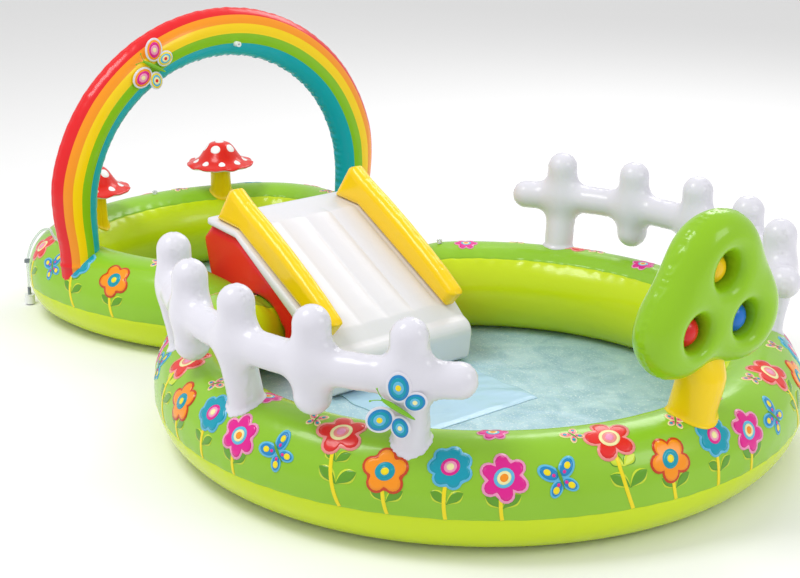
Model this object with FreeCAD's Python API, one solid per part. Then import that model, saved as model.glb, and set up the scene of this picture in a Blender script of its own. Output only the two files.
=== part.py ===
"""Inflatable garden play pool with a rainbow sprayer arch and a water slide.

Two air rings make two basins.  A slide straddles the wall between them, an arch
with a sprayer spans the small basin, and two fences, a ball tree and two
mushrooms stand on the rings.  Units are millimetres, +Z is up, +X runs from the
small basin to the large one, and the origin is on the ground in the middle.
Each air chamber is a closed skin of thickness WALL around its air.
"""
import FreeCAD, Part
import math
import os

V = FreeCAD.Vector
UP = V(0, 0, 1)
ALONG = V(1, 0, 0)
ACROSS = V(0, 1, 0)
ORIGIN = V(0, 0, 0)
FULL_TURN = 360.0

# Skins and clearances
WALL = 3.0                   # thickness of a modelled skin
GAP = 0.3                    # between pieces that come apart
RUNNING = 0.05               # radial clearance of the turning coupling
FLOOR_THICK = 3.0            # basin floor sheet

# Ring tube: an ellipse, measured from its centre
TUBE_HALF_WIDTH = 128.0
TUBE_HALF_HEIGHT = 145.0
RING_TOP = 2 * TUBE_HALF_HEIGHT
LEG_LOW = 0.775 * RING_TOP   # what stands on a ring starts in it and is cut by it
SEAM_LOW = 100.0             # outer seam, degrees from the crest, outwards
SEAM_HIGH = -38.0            # inner seam, degrees from the crest, inwards

# Large ring: a circle whose near side is the divider between the basins
DIVIDER_X = -283.0
LARGE_R = 805.0
LARGE_X = DIVIDER_X + LARGE_R

# Small ring: an egg of tangent arcs that runs into the large ring
SMALL_END_X = DIVIDER_X - 1027.0     # centre line at its far end
SMALL_WIDE_X = DIVIDER_X - 682.0     # where it is widest
SMALL_WIDE_Y = 520.0                 # half width there
SMALL_CORNER_R = 275.0
SMALL_WAIST_R = 820.0
SMALL_WAIST_TURN = 57.0              # degrees of the last arc, ends inside the large ring

# Rainbow arch
ARCH_X = DIVIDER_X - 552.0
ARCH_R = SMALL_WIDE_Y + 72.0         # its legs stand on the ring's outer half
ARCH_SPRING_Z = RING_TOP + 75.0      # height of the half circle's centre
ARCH_HALF_DEPTH = 81.0               # in the plane of the arch
ARCH_HALF_THICK = 55.0

# Sprayer
NOZZLE_Y = 42.0
NOZZLE_DROP = 37.0           # below the arch's centre line
NOZZLE_R = 9.0
NOZZLE_REACH = 16.0
HOSE_R = 4.0
CLIP_WIDTH = 16.0
CLIP_HEIGHT = 12.0
CLIP_WRAP = 4.0              # clip wall round the tube
COUPLING_X = -1226.0
COUPLING_Y = -571.0
COUPLING_BASE_Z = 4.0
COUPLING_R = 17.5
COUPLING_HEIGHT = 32.0
COUPLING_BORE_R = 13.0
COUPLING_BORE_DEPTH = 16.0
TAIL_R = 6.0
FLANGE_R = 11.5
FLANGE_THICK = 3.0
FLANGE_SIDE_GAP = 0.5

# Route of the clear tube, from the hose tail to the arch, with CLIP_POINT in its clip
TUBE_ROUTE = ((COUPLING_X, COUPLING_Y, 62.0), (-1226.0, -571.0, 110.0),
              (-1233.0, -568.0, 158.0), (-1220.0, -554.0, 221.0),
              (-1182.0, -533.0, 274.0), (-1112.0, -530.0, 298.0),
              (-1042.0, -557.0, 296.0), (-982.0, -570.0, 292.0),
              (-934.0, -578.0, 302.0), (-835.0, -582.0, 310.0))
CLIP_POINT = 2
BEND_SHARE = 0.45            # of the shorter run, used up by each bend

# Fences
FENCE_R = LARGE_R + 55.0
FENCE_Z = RING_TOP + 160.0
RAIL_R = 45.0
PICKET_R = 48.0
PICKET_TOP_Z = RING_TOP + 310.0
PICKET_HANG_Z = RING_TOP + 28.0      # low end of a picket that has no leg
PICKET_ANGLES = (120.0, 103.0, 86.0, 69.0, 52.0)
RAIL_STUB_ANGLE = 8.0                # rail past the end pickets, degrees
FOOT_FLARE = 14.0                    # weld flange past the leg
FOOT_RISE = 30.0

# Ball tree
TREE_X = LARGE_X + LARGE_R + 41.0
TRUNK_R = 64.0
TRUNK_INTO_CROWN = 20.0
CROWN_HALF_THICK = 62.0
TOP_LOBE_Z = RING_TOP + 382.0
TOP_LOBE_R = 148.0
SIDE_LOBE_Y = 105.0
SIDE_LOBE_Z = RING_TOP + 246.0
SIDE_LOBE_R = 128.0
TOP_HOLE_Z = TOP_LOBE_Z + 4.0
SIDE_HOLE_Y = SIDE_LOBE_Y - 17.0
SIDE_HOLE_Z = SIDE_LOBE_Z - 4.0
BALL_HOLE_R = 48.0
BALL_R = BALL_HOLE_R - 5.0
LOBES = ((0.0, TOP_LOBE_Z, TOP_LOBE_R), (-SIDE_LOBE_Y, SIDE_LOBE_Z, SIDE_LOBE_R),
         (SIDE_LOBE_Y, SIDE_LOBE_Z, SIDE_LOBE_R))
BALL_HOLES = (("yellow", 0.0, TOP_HOLE_Z), ("red", -SIDE_HOLE_Y, SIDE_HOLE_Z),
              ("blue", SIDE_HOLE_Y, SIDE_HOLE_Z))

# Mushrooms: share of half the small ring's end arc, and millimetres in from its centre line
MUSHROOMS = (("far", 0.6265, 42.1), ("near", -0.8555, 53.8))
STALK_FOOT_R = 39.0
STALK_TOP_R = 31.0
CAP_R = 135.0
CAP_BRIM_Z = RING_TOP + 98.0
CAP_RISE = 84.0
CAP_UNDER = 16.0
CAP_UNDER_TAPER = 40.0

# Slide: side profile points are (x, z)
DECK_HALF_WIDTH = 275.0
DECK_THICK = 34.0
DECK_REAR = (DIVIDER_X - 217.0, RING_TOP + 138.0)
DECK_KNEE = (DIVIDER_X - 52.0, RING_TOP + 128.0)
DECK_LIP = (DIVIDER_X + 473.0, 150.0)
BASE_HALF_WIDTH = DECK_HALF_WIDTH - 13.0
BASE_REAR_OUT = 55.0                 # base bulges behind the deck
BASE_REAR_LOW = TUBE_HALF_HEIGHT + 5.0
BASE_FOOT_REAR = DIVIDER_X + TUBE_HALF_WIDTH + 55.0
MAT_FRONT = DECK_LIP[0] + 355.0
MAT_HALF_WIDTH = 240.0
MAT_THICK = 8.0
BOLSTER_HALF_THICK = 29.0
BOLSTER_Y = DECK_HALF_WIDTH - BOLSTER_HALF_THICK - 10.0
BOLSTER_APEX = (DECK_KNEE[0] - 41.0, DECK_KNEE[1] + 127.0)
BOLSTER_TIP = (DECK_LIP[0] - 24.0, DECK_LIP[1] + 96.0)
BOLSTER_REAR_X = DECK_REAR[0] + 30.0
BOLSTER_FRONT_X = DECK_LIP[0] - 70.0

# Butterflies: body, and two wings that fold forwards on their living hinges
BUTTERFLY_BODY_R = 5.0
BUTTERFLY_BODY_LEN = 88.0
FORE_WING = (36.0, 17.0, 26.0)       # out from the body, up along it, radius
HIND_WING = (28.0, -23.0, 19.0)
WING_THICK = 5.0
WING_BACK = 1.5                      # wing's back face, off the surface behind it
BUTTERFLY_ARCH_ANGLE = 119.0         # round the arch from +Y
BUTTERFLY_FENCE_ANGLE = -53.0
BUTTERFLY_FENCE_Z = FENCE_Z - 58.0
BUTTERFLY_LEAN = 62.0                # body's lean from upright, degrees

# Valves and drain
VALVE_R = 8.0
VALVE_RISE = 7.0
VALVE_SUNK = 12.0                    # stem below the surface, before it is trimmed
VALVE_CAP_R = 9.5
VALVE_CAP_THICK = 3.0
LARGE_VALVE_ANGLE = 148.0
ARCH_VALVE_ANGLE = 40.0
FENCE_VALVE_ANGLE = 94.5
TREE_VALVE_Z = SIDE_LOBE_Z + 64.0
DRAIN_IN = 207.6                     # from the large ring's centre line
DRAIN_ANGLE = 33.53
DRAIN_R = 14.0
DRAIN_PLUG_R = 10.0
DRAIN_RISE = 6.0
PLUG_HEAD_THICK = 3.0


# ---------------------------------------------------------------- basic shapes
def tube_ellipse(radius, inset=0.0):
    """The ring tube's section, upright, at a distance from the turning axis."""
    centre = V(radius, 0, TUBE_HALF_HEIGHT)
    top = centre + UP * (TUBE_HALF_HEIGHT - inset)
    side = centre + ALONG * (TUBE_HALF_WIDTH - inset)
    return Part.Ellipse(top, side, centre)


def full_section(radius, inset=0.0):
    return Part.Face(Part.Wire(tube_ellipse(radius, inset).toShape()))


def skin_section(radius, start, end):
    """A strip of the tube's skin between two seams, given in degrees."""
    a, b = math.radians(start), math.radians(end)
    outer = Part.ArcOfEllipse(tube_ellipse(radius), a, b).toShape()
    inner = Part.ArcOfEllipse(tube_ellipse(radius, WALL), a, b).toShape()
    edges = [outer, inner]
    for t in (a, b):
        edges.append(Part.makeLine(tube_ellipse(radius).value(t),
                                   tube_ellipse(radius, WALL).value(t)))
    return Part.Face(Part.Wire(Part.__sortEdges__(edges)))


def solid_of(shape):
    """A solid whose faces point outwards."""
    if shape.Volume < 0:
        shape.reverse()
    return shape


def swing(face, centre_x, centre_y, start, turn):
    """Carry a section round an upright axis, from a plan angle, in degrees."""
    shape = face.copy()
    shape.rotate(ORIGIN, UP, start)
    solid = shape.revolve(ORIGIN, UP, turn)
    solid.translate(V(centre_x, centre_y, 0))
    return solid


def join(shapes):
    """One solid from several that meet or overlap."""
    result = shapes[0]
    if len(shapes) > 1:
        result = result.multiFuse(list(shapes[1:]))
    return result.removeSplitter()


def hollow(make, cutters=()):
    """A chamber's skin: trimmed by what it meets, less the same shape inset by WALL."""
    outside = make(0.0)
    for cutter in cutters:
        outside = biggest(outside.cut(cutter))
    return outside.cut(make(WALL))


def biggest(shape):
    """The largest solid of a cut shape."""
    return max(shape.Solids, key=lambda solid: solid.Volume)


def on_circle(centre_x, centre_y, radius, angle, z=0.0):
    """A point at a plan angle, in degrees, round an upright axis."""
    a = math.radians(angle)
    return V(centre_x + radius * math.cos(a), centre_y + radius * math.sin(a), z)


def prism(points, half_width, inset=0.0, middle_y=0.0):
    """A side profile in X and Z, given a width across, centred on middle_y."""
    corners = [V(x, 0, z) for x, z in points]
    wire = Part.makePolygon(corners + corners[:1])
    if inset:
        wire = wire.makeOffset2D(-inset, 2)
    half = half_width - inset
    solid = Part.Face(wire).extrude(ACROSS * (2 * half))
    solid.translate(ACROSS * (middle_y - half))
    return solid


def ball(centre, radius):
    return Part.makeSphere(radius, centre)


def capsule(low, high, radius):
    """A round-ended bar between two ball centres."""
    run = high - low
    return join([Part.makeCylinder(radius, run.Length, low, run),
                 ball(low, radius), ball(high, radius)])


# ---------------------------------------------------------------- the rings
def large_ring_part(start, end):
    return swing(skin_section(LARGE_R, start, end), LARGE_X, 0, 0, FULL_TURN)


def large_ring_solid(grow=0.0, closing_angle=0.0):
    """The whole ring, grown all round; its round faces close at a plan angle."""
    return swing(full_section(LARGE_R, -grow), LARGE_X, 0, closing_angle, FULL_TURN)


def end_arc():
    """Centre x, radius and half turn of the arc round the small ring's far end."""
    reach = SMALL_WIDE_X - SMALL_END_X
    drop = SMALL_WIDE_Y - SMALL_CORNER_R
    radius = (reach ** 2 + drop ** 2 - SMALL_CORNER_R ** 2) / (2 * (reach - SMALL_CORNER_R))
    centre_x = SMALL_END_X + radius
    return centre_x, radius, math.degrees(math.atan2(drop, centre_x - SMALL_WIDE_X))


def small_ring_arcs():
    """Centre x, centre y, radius, start and turn of each arc of the small ring."""
    end_x, end_r, half_end = end_arc()
    drop = SMALL_WIDE_Y - SMALL_CORNER_R
    corner_turn = 90.0 - half_end
    waist_y = SMALL_WAIST_R - SMALL_WIDE_Y
    return [
        (SMALL_WIDE_X, -waist_y, SMALL_WAIST_R, 90.0 - SMALL_WAIST_TURN, SMALL_WAIST_TURN),
        (SMALL_WIDE_X, drop, SMALL_CORNER_R, 90.0, corner_turn),
        (end_x, 0.0, end_r, 180.0 - half_end, 2 * half_end),
        (SMALL_WIDE_X, -drop, SMALL_CORNER_R, 180.0 + half_end, corner_turn),
        (SMALL_WIDE_X, waist_y, SMALL_WAIST_R, 270.0, SMALL_WAIST_TURN),
    ]


def small_ring_sweep(section):
    """Carry a section, given as a function of radius, along the small ring."""
    pieces = [swing(section(r), x, y, start, turn)
              for x, y, r, start, turn in small_ring_arcs()]
    return join(pieces)


def small_ring_part(start, end):
    sweep = small_ring_sweep(lambda r: skin_section(r, start, end))
    return biggest(sweep.cut(large_ring_solid()))


def small_ring_solid(grow=0.0):
    return small_ring_sweep(lambda r: full_section(r, -grow))


def large_floor():
    disc = Part.makeCylinder(LARGE_R, FLOOR_THICK, V(LARGE_X, 0, 0))
    return biggest(disc.cut(large_ring_solid()))


def small_floor():
    """The sheet inside the small ring's centre line, up to both rings."""
    edges = []
    for x, y, r, start, turn in small_ring_arcs():
        points = [on_circle(x, y, r, start + share * turn) for share in (0, 0.5, 1)]
        edges.append(Part.Arc(*points).toShape())
    edges.append(Part.makeLine(edges[-1].Vertexes[-1].Point, edges[0].Vertexes[0].Point))
    sheet = Part.Face(Part.Wire(Part.__sortEdges__(edges))).extrude(UP * FLOOR_THICK)
    return biggest(sheet.cut(small_ring_solid()).cut(large_ring_solid()))


# ---------------------------------------------------------------- the arch
def arch_chamber(inset):
    """An elliptical tube bent to a half circle, with straight legs."""
    centre = V(ARCH_X, ARCH_R, ARCH_SPRING_Z)
    section = Part.Ellipse(centre + ACROSS * (ARCH_HALF_DEPTH - inset),
                           centre + ALONG * (ARCH_HALF_THICK - inset), centre)
    face = Part.Face(Part.Wire(section.toShape()))
    bend = face.revolve(V(ARCH_X, 0, ARCH_SPRING_Z), ALONG, 180)
    low = RING_TOP + inset if inset else LEG_LOW
    legs = [face.extrude(UP * (low - ARCH_SPRING_Z))]
    far = face.copy()
    far.translate(ACROSS * (-2 * ARCH_R))
    legs.append(far.extrude(UP * (low - ARCH_SPRING_Z)))
    return join([bend] + legs)


def arch():
    return hollow(arch_chamber, [small_ring_solid()])


def nozzle():
    z = ARCH_SPRING_Z + ARCH_R - NOZZLE_DROP
    start = V(ARCH_X, NOZZLE_Y, z)
    barrel = Part.makeCylinder(NOZZLE_R, ARCH_HALF_THICK + NOZZLE_REACH, start, ALONG)
    bore = Part.makeCylinder(NOZZLE_R / 3, ARCH_HALF_THICK + NOZZLE_REACH, start, ALONG)
    return biggest(barrel.cut(bore).cut(arch_chamber(0.0)))


# ---------------------------------------------------------------- fences
def at_angle(radius, angle, z):
    """A point round the large ring's axis."""
    return on_circle(LARGE_X, 0.0, radius, angle, z)


def fence_leg(angle, high_z, inset):
    """A straight leg; its weld flange flares out over the ring and is trimmed by it."""
    if inset:
        low_z = RING_TOP + inset
        return Part.makeCylinder(PICKET_R - inset, high_z - low_z,
                                 at_angle(FENCE_R, angle, low_z))
    leg = Part.makeCylinder(PICKET_R, high_z - LEG_LOW, at_angle(FENCE_R, angle, LEG_LOW))
    flange_r = PICKET_R + FOOT_FLARE
    flare_low = RING_TOP - FOOT_RISE / 2
    flare = Part.makeCone(flange_r, PICKET_R, FOOT_RISE, at_angle(FENCE_R, angle, flare_low))
    skirt = Part.makeCylinder(flange_r, flare_low - LEG_LOW,
                              at_angle(FENCE_R, angle, LEG_LOW))
    return biggest(join([leg, flare, skirt]).cut(large_ring_solid()))


def fence_chamber(side, inset):
    """Rail and pickets; pickets one, three and five have legs.

    The far fence for a side of 1.  For -1 it is swung round the ring to the near side,
    where evenly spaced pickets make it the far one's mirror image.
    """
    rail_r = RAIL_R - inset
    picket_r = PICKET_R - inset
    start = PICKET_ANGLES[-1] - RAIL_STUB_ANGLE
    turn = PICKET_ANGLES[0] + RAIL_STUB_ANGLE - start
    circle = Part.makeCircle(rail_r, V(FENCE_R, 0, FENCE_Z), ACROSS)
    parts = [swing(Part.Face(Part.Wire(circle)), LARGE_X, 0, start, turn)]
    for angle in (start, start + turn):
        parts.append(ball(at_angle(FENCE_R, angle, FENCE_Z), rail_r))
    for number, angle in enumerate(PICKET_ANGLES):
        high = at_angle(FENCE_R, angle, PICKET_TOP_Z - PICKET_R)
        if number % 2:
            low = at_angle(FENCE_R, angle, PICKET_HANG_Z + PICKET_R)
            parts.append(capsule(low, high, picket_r))
            continue
        parts.append(ball(high, picket_r))
        parts.append(fence_leg(angle, high.z, inset))
    chamber = join(parts)
    if side < 0:
        middles = PICKET_ANGLES[0] + PICKET_ANGLES[-1]
        chamber.rotate(V(LARGE_X, 0, 0), UP, -middles)
    return chamber


def fence(side):
    return hollow(lambda inset: fence_chamber(side, inset))


# ---------------------------------------------------------------- ball tree
def puffed_disc(y, z, radius, inset):
    """A disc with a full round edge, facing along X."""
    half = CROWN_HALF_THICK - inset
    flat = radius - CROWN_HALF_THICK
    core = Part.makeCylinder(flat, 2 * half, V(TREE_X - half, y, z), ALONG)
    edge = Part.makeTorus(flat, half, V(TREE_X, y, z), ALONG)
    return core.fuse(edge)


def crown_chamber(inset):
    lobes = [puffed_disc(y, z, r, inset) for y, z, r in LOBES]
    crown = join(lobes)
    for name, y, z in BALL_HOLES:
        hole = Part.makeCylinder(BALL_HOLE_R + inset, 4 * CROWN_HALF_THICK,
                                 V(TREE_X - 2 * CROWN_HALF_THICK, y, z), ALONG)
        crown = crown.cut(hole)
    return crown


def crown():
    return hollow(crown_chamber)


def trunk():
    high = SIDE_LOBE_Z - SIDE_LOBE_R / 2 + TRUNK_INTO_CROWN

    def chamber(inset):
        low = RING_TOP + inset if inset else LEG_LOW
        return Part.makeCylinder(TRUNK_R - inset, high - low - inset, V(TREE_X, 0, low))
    ring = large_ring_solid(closing_angle=FULL_TURN / 2)
    return hollow(chamber, [ring, crown_chamber(0.0)])


def tree_ball(y, z):
    """A ball that lies at the bottom of its hole."""
    return ball(V(TREE_X, y, z - BALL_HOLE_R + BALL_R + GAP), BALL_R)


# ---------------------------------------------------------------- mushrooms
def dome(x, y, inset=0.0):
    """A cap: a slice of a ball above the brim and a shallow cone below it."""
    rise = CAP_RISE - inset
    radius = CAP_R - inset
    ball_r = (radius ** 2 + rise ** 2) / (2 * rise)
    centre = V(x, y, CAP_BRIM_Z + rise - ball_r)
    above = Part.makeBox(4 * radius, 4 * radius, 4 * radius,
                         V(x - 2 * radius, y - 2 * radius, CAP_BRIM_Z))
    under = Part.makeCone(radius - CAP_UNDER_TAPER, radius, CAP_UNDER - inset,
                          V(x, y, CAP_BRIM_Z - CAP_UNDER + inset))
    return join([ball(centre, ball_r).common(above), under])


def mushroom_spots():
    """Name and plan place of each mushroom."""
    end_x, end_r, half_end = end_arc()
    spots = []
    for name, share, inwards in MUSHROOMS:
        spot = on_circle(end_x, 0.0, end_r - inwards, 180.0 - share * half_end)
        spots.append((name, spot.x, spot.y))
    return spots


def mushroom_cap(x, y):
    return hollow(lambda inset: dome(x, y, inset))


def mushroom_stalk(x, y):
    def chamber(inset):
        low = RING_TOP + inset if inset else LEG_LOW
        high = CAP_BRIM_Z - (CAP_UNDER + inset if inset else 0.0)
        taper = (STALK_FOOT_R - STALK_TOP_R) / (CAP_BRIM_Z - LEG_LOW)
        foot_r = STALK_FOOT_R - inset - taper * (low - LEG_LOW)
        return Part.makeCone(foot_r, foot_r - taper * (high - low),
                             high - low, V(x, y, low))
    return hollow(chamber, [small_ring_solid(), dome(x, y)])


# ---------------------------------------------------------------- slide
def lowered(point, drop):
    return (point[0], point[1] - drop)


def deck():
    """An air mattress bent at the knee, with a rounded lip."""
    top = [DECK_REAR, DECK_KNEE, DECK_LIP]
    bottom = [lowered(p, DECK_THICK) for p in reversed(top)]

    def chamber(inset):
        return prism(top + bottom, DECK_HALF_WIDTH, inset)
    return hollow(chamber)


def divider_room(clear):
    """What the slide leaves free so that it lifts straight off the rings."""
    outer = Part.makeCylinder(LARGE_R + TUBE_HALF_WIDTH + clear, TUBE_HALF_HEIGHT,
                              V(LARGE_X, 0, 0))
    core = Part.makeCylinder(LARGE_R - TUBE_HALF_WIDTH - clear, TUBE_HALF_HEIGHT,
                             V(LARGE_X, 0, 0))
    return [large_ring_solid(clear), outer.cut(core), small_ring_solid(clear)]


def slide_base():
    """The raised chamber under the deck; it straddles the divider."""
    mat_top = FLOOR_THICK + GAP + MAT_THICK
    rear = lowered(DECK_REAR, DECK_THICK)
    knee = lowered(DECK_KNEE, DECK_THICK)
    lip = lowered(DECK_LIP, DECK_THICK)
    profile = [rear, knee, lip, (lip[0], mat_top), (BASE_FOOT_REAR, mat_top),
               (BASE_FOOT_REAR, BASE_REAR_LOW), (rear[0], BASE_REAR_LOW),
               (rear[0] - BASE_REAR_OUT, rear[1] - BASE_REAR_OUT)]

    def chamber(inset):
        block = prism(profile, BASE_HALF_WIDTH, inset)
        for room in divider_room(GAP + inset):
            block = biggest(block.cut(room))
        return block
    return hollow(chamber)


def bolster(side):
    """A yellow side rail that stands on the deck."""
    def deck_top(x):
        low, high = ((DECK_REAR, DECK_KNEE) if x < DECK_KNEE[0] else (DECK_KNEE, DECK_LIP))
        return low[1] + (high[1] - low[1]) * (x - low[0]) / (high[0] - low[0])
    profile = [(BOLSTER_REAR_X, deck_top(BOLSTER_REAR_X)), DECK_KNEE,
               (BOLSTER_FRONT_X, deck_top(BOLSTER_FRONT_X)), BOLSTER_TIP, BOLSTER_APEX]

    def chamber(inset):
        return prism(profile, BOLSTER_HALF_THICK, inset, side * BOLSTER_Y)
    return hollow(chamber)


def landing_mat():
    return Part.makeBox(MAT_FRONT - BASE_FOOT_REAR, 2 * MAT_HALF_WIDTH, MAT_THICK,
                        V(BASE_FOOT_REAR, -MAT_HALF_WIDTH, FLOOR_THICK + GAP))


# ---------------------------------------------------------------- sprayer's tube
def rounded_route(points):
    """Straight runs joined by tangent arcs as large as the runs allow."""
    corners = [V(*p) for p in points]
    edges = []
    start = corners[0]
    radii = []
    for before, corner, after in zip(corners, corners[1:], corners[2:]):
        back, ahead = before - corner, after - corner
        used = BEND_SHARE * min(back.Length, ahead.Length)
        half_turn = (math.pi - back.getAngle(ahead)) / 2
        radius = used / math.tan(half_turn)
        radii.append(round(radius))
        back.normalize()
        ahead.normalize()
        inward = (back + ahead).normalize()
        a, b = corner + back * used, corner + ahead * used
        middle = corner + inward * (radius / math.cos(half_turn) - radius)
        edges.append(Part.LineSegment(start, a).toShape())
        edges.append(Part.Arc(a, middle, b).toShape())
        start = b
    edges.append(Part.LineSegment(start, corners[-1]).toShape())
    print("tube bend radii", radii)
    return Part.Wire(edges)


def sprayer_tube():
    """The clear tube, whole, from the hose tail to the arch's foot."""
    path = rounded_route(TUBE_ROUTE)
    ring = Part.Wire(Part.makeCircle(HOSE_R, V(*TUBE_ROUTE[0]), UP))
    tube = solid_of(path.makePipeShell([ring], True, False))
    print("tube volume over section times length",
          tube.Volume / (math.pi * HOSE_R ** 2 * path.Length))
    return biggest(tube.cut(arch_chamber(0.0)))


def tube_clip(tube):
    """A small block on the ring that the tube runs through."""
    x, y, z = TUBE_ROUTE[CLIP_POINT]
    corner_y = SMALL_CORNER_R - SMALL_WIDE_Y
    out = math.degrees(math.atan2(y - corner_y, x - SMALL_WIDE_X))
    reach = math.hypot(x - SMALL_WIDE_X, y - corner_y) + HOSE_R + CLIP_WRAP
    block = Part.makeBox(reach - SMALL_CORNER_R, CLIP_WIDTH, CLIP_HEIGHT,
                         V(SMALL_CORNER_R, -CLIP_WIDTH / 2, z - CLIP_HEIGHT / 2))
    block.rotate(ORIGIN, UP, out)
    block.translate(V(SMALL_WIDE_X, corner_y, 0))
    return biggest(block.cut(small_ring_solid()).cut(tube))


def tail_shoulder():
    """Height of the collar's shoulder, which bears on the tail's flange."""
    return COUPLING_BASE_Z + COUPLING_BORE_DEPTH + FLANGE_THICK + 2 * GAP


def hose_coupling():
    """A collar with a thread-sized bore below and a neck that turns on the tail."""
    base = V(COUPLING_X, COUPLING_Y, COUPLING_BASE_Z)
    body = Part.makeCylinder(COUPLING_R, COUPLING_HEIGHT, base)
    bore = Part.makeCylinder(COUPLING_BORE_R, COUPLING_BORE_DEPTH, base)
    chamber = Part.makeCylinder(FLANGE_R + FLANGE_SIDE_GAP, tail_shoulder() - base.z, base)
    neck = Part.makeCylinder(TAIL_R + RUNNING, COUPLING_HEIGHT, base)
    return body.cut(bore).cut(chamber).cut(neck)


def hose_tail():
    """The fixed tail: a flange inside the collar, and a stem up to the tube."""
    foot = V(COUPLING_X, COUPLING_Y, tail_shoulder() - GAP - FLANGE_THICK)
    flange = Part.makeCylinder(FLANGE_R, FLANGE_THICK, foot)
    stem = Part.makeCylinder(TAIL_R, TUBE_ROUTE[0][2] - foot.z, foot)
    return join([flange, stem])


# ---------------------------------------------------------------- butterflies
def placed(shape, point, facing, lean):
    """Move a shape drawn facing +Z, head along +Y, to a point on an upright surface."""
    across = UP.cross(facing)
    frame = FreeCAD.Matrix(across.x, UP.x, facing.x, 0, across.y, UP.y, facing.y, 0,
                           across.z, UP.z, facing.z, 0, 0, 0, 0, 1)
    moved = shape.copy()
    moved.rotate(ORIGIN, UP, lean)
    moved = moved.transformed(frame)
    moved.translate(point)
    return moved


def butterfly_body():
    half = BUTTERFLY_BODY_LEN / 2 - BUTTERFLY_BODY_R
    z = BUTTERFLY_BODY_R + GAP
    return capsule(V(0, -half, z), V(0, half, z), BUTTERFLY_BODY_R)


def butterfly_wing(side):
    """Two round lobes, trimmed straight beside the body."""
    lobes = []
    for out, up, radius in (FORE_WING, HIND_WING):
        lobes.append(Part.makeCylinder(radius, WING_THICK, V(side * out, up, WING_BACK)))
    root = BUTTERFLY_BODY_R + GAP
    low = HIND_WING[1] - HIND_WING[2] / 2
    high = FORE_WING[1] + FORE_WING[2] / 2
    wide = FORE_WING[0] - root
    left = root if side > 0 else -root - wide
    lobes.append(Part.makeBox(wide, high - low, WING_THICK, V(left, low, WING_BACK)))
    big = 4 * BUTTERFLY_BODY_LEN
    left = root if side > 0 else -root - big
    keep = Part.makeBox(big, 2 * big, big, V(left, -big, -big / 2))
    return biggest(join(lobes).common(keep))


def butterflies():
    """Name, place and outward facing of each butterfly."""
    a = math.radians(BUTTERFLY_ARCH_ANGLE)
    on_arch = V(ARCH_X + ARCH_HALF_THICK, ARCH_R * math.cos(a),
                ARCH_SPRING_Z + ARCH_R * math.sin(a))
    out = unit_at(BUTTERFLY_FENCE_ANGLE)
    on_fence = at_angle(FENCE_R + PICKET_R, BUTTERFLY_FENCE_ANGLE, BUTTERFLY_FENCE_Z)
    return [("arch", on_arch, ALONG), ("fence", on_fence, out)]


# ---------------------------------------------------------------- valves and drain
def unit_at(angle):
    return on_circle(0.0, 0.0, 1.0, angle)


def valves():
    """Name, point on the surface, direction out, and what trims the stem."""
    a = math.radians(ARCH_VALVE_ANGLE)
    arch_point = V(ARCH_X - ARCH_HALF_THICK, ARCH_R * math.cos(a),
                   ARCH_SPRING_Z + ARCH_R * math.sin(a))
    rear = V(DECK_REAR[0], 0, DECK_REAR[1] - DECK_THICK / 2)
    inward, outward = unit_at(-FENCE_VALVE_ANGLE) * -1, unit_at(FENCE_VALVE_ANGLE)
    return [
        ("large_ring", at_angle(LARGE_R, LARGE_VALVE_ANGLE, RING_TOP), UP,
         large_ring_solid()),
        ("small_ring", V(SMALL_END_X, 0, RING_TOP), UP, small_ring_solid()),
        ("arch", arch_point, ALONG * -1, arch_chamber(0.0)),
        ("tree", V(TREE_X - CROWN_HALF_THICK, 0, TREE_VALVE_Z), ALONG * -1,
         crown_chamber(0.0)),
        ("front_fence", at_angle(FENCE_R - RAIL_R, -FENCE_VALVE_ANGLE, FENCE_Z), inward,
         fence_chamber(-1, 0.0)),
        ("back_fence", at_angle(FENCE_R + RAIL_R, FENCE_VALVE_ANGLE, FENCE_Z), outward,
         fence_chamber(1, 0.0)),
        ("slide", rear, ALONG * -1, None),
    ]


def valve_stem(point, out, host):
    if host is None:
        return Part.makeCylinder(VALVE_R, VALVE_RISE, point, out)
    stem = Part.makeCylinder(VALVE_R, VALVE_RISE + VALVE_SUNK,
                             point - out * VALVE_SUNK, out)
    return biggest(stem.cut(host))


def valve_cap(point, out):
    return Part.makeCylinder(VALVE_CAP_R, VALVE_CAP_THICK,
                             point + out * (VALVE_RISE + GAP), out)


def drain_point(z):
    return at_angle(LARGE_R - DRAIN_IN, DRAIN_ANGLE, z)


def drain_socket():
    base = drain_point(FLOOR_THICK)
    ring = Part.makeCylinder(DRAIN_R, DRAIN_RISE, base)
    return ring.cut(Part.makeCylinder(DRAIN_PLUG_R, DRAIN_RISE, base))


def drain_plug():
    stem = Part.makeCylinder(DRAIN_PLUG_R - RUNNING, DRAIN_RISE,
                             drain_point(FLOOR_THICK + GAP))
    head = Part.makeCylinder(DRAIN_R, PLUG_HEAD_THICK,
                             drain_point(FLOOR_THICK + DRAIN_RISE + GAP))
    return join([stem, head])


# ---------------------------------------------------------------- write it out
def export(node, shape):
    solids = shape.Solids
    if not shape.isValid():
        print("NOT VALID", node)
    shape.exportStep("parts/%s.step" % node)
    print(node, len(solids), "solids", round(shape.Volume / 1e6, 2), "litres")


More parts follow.
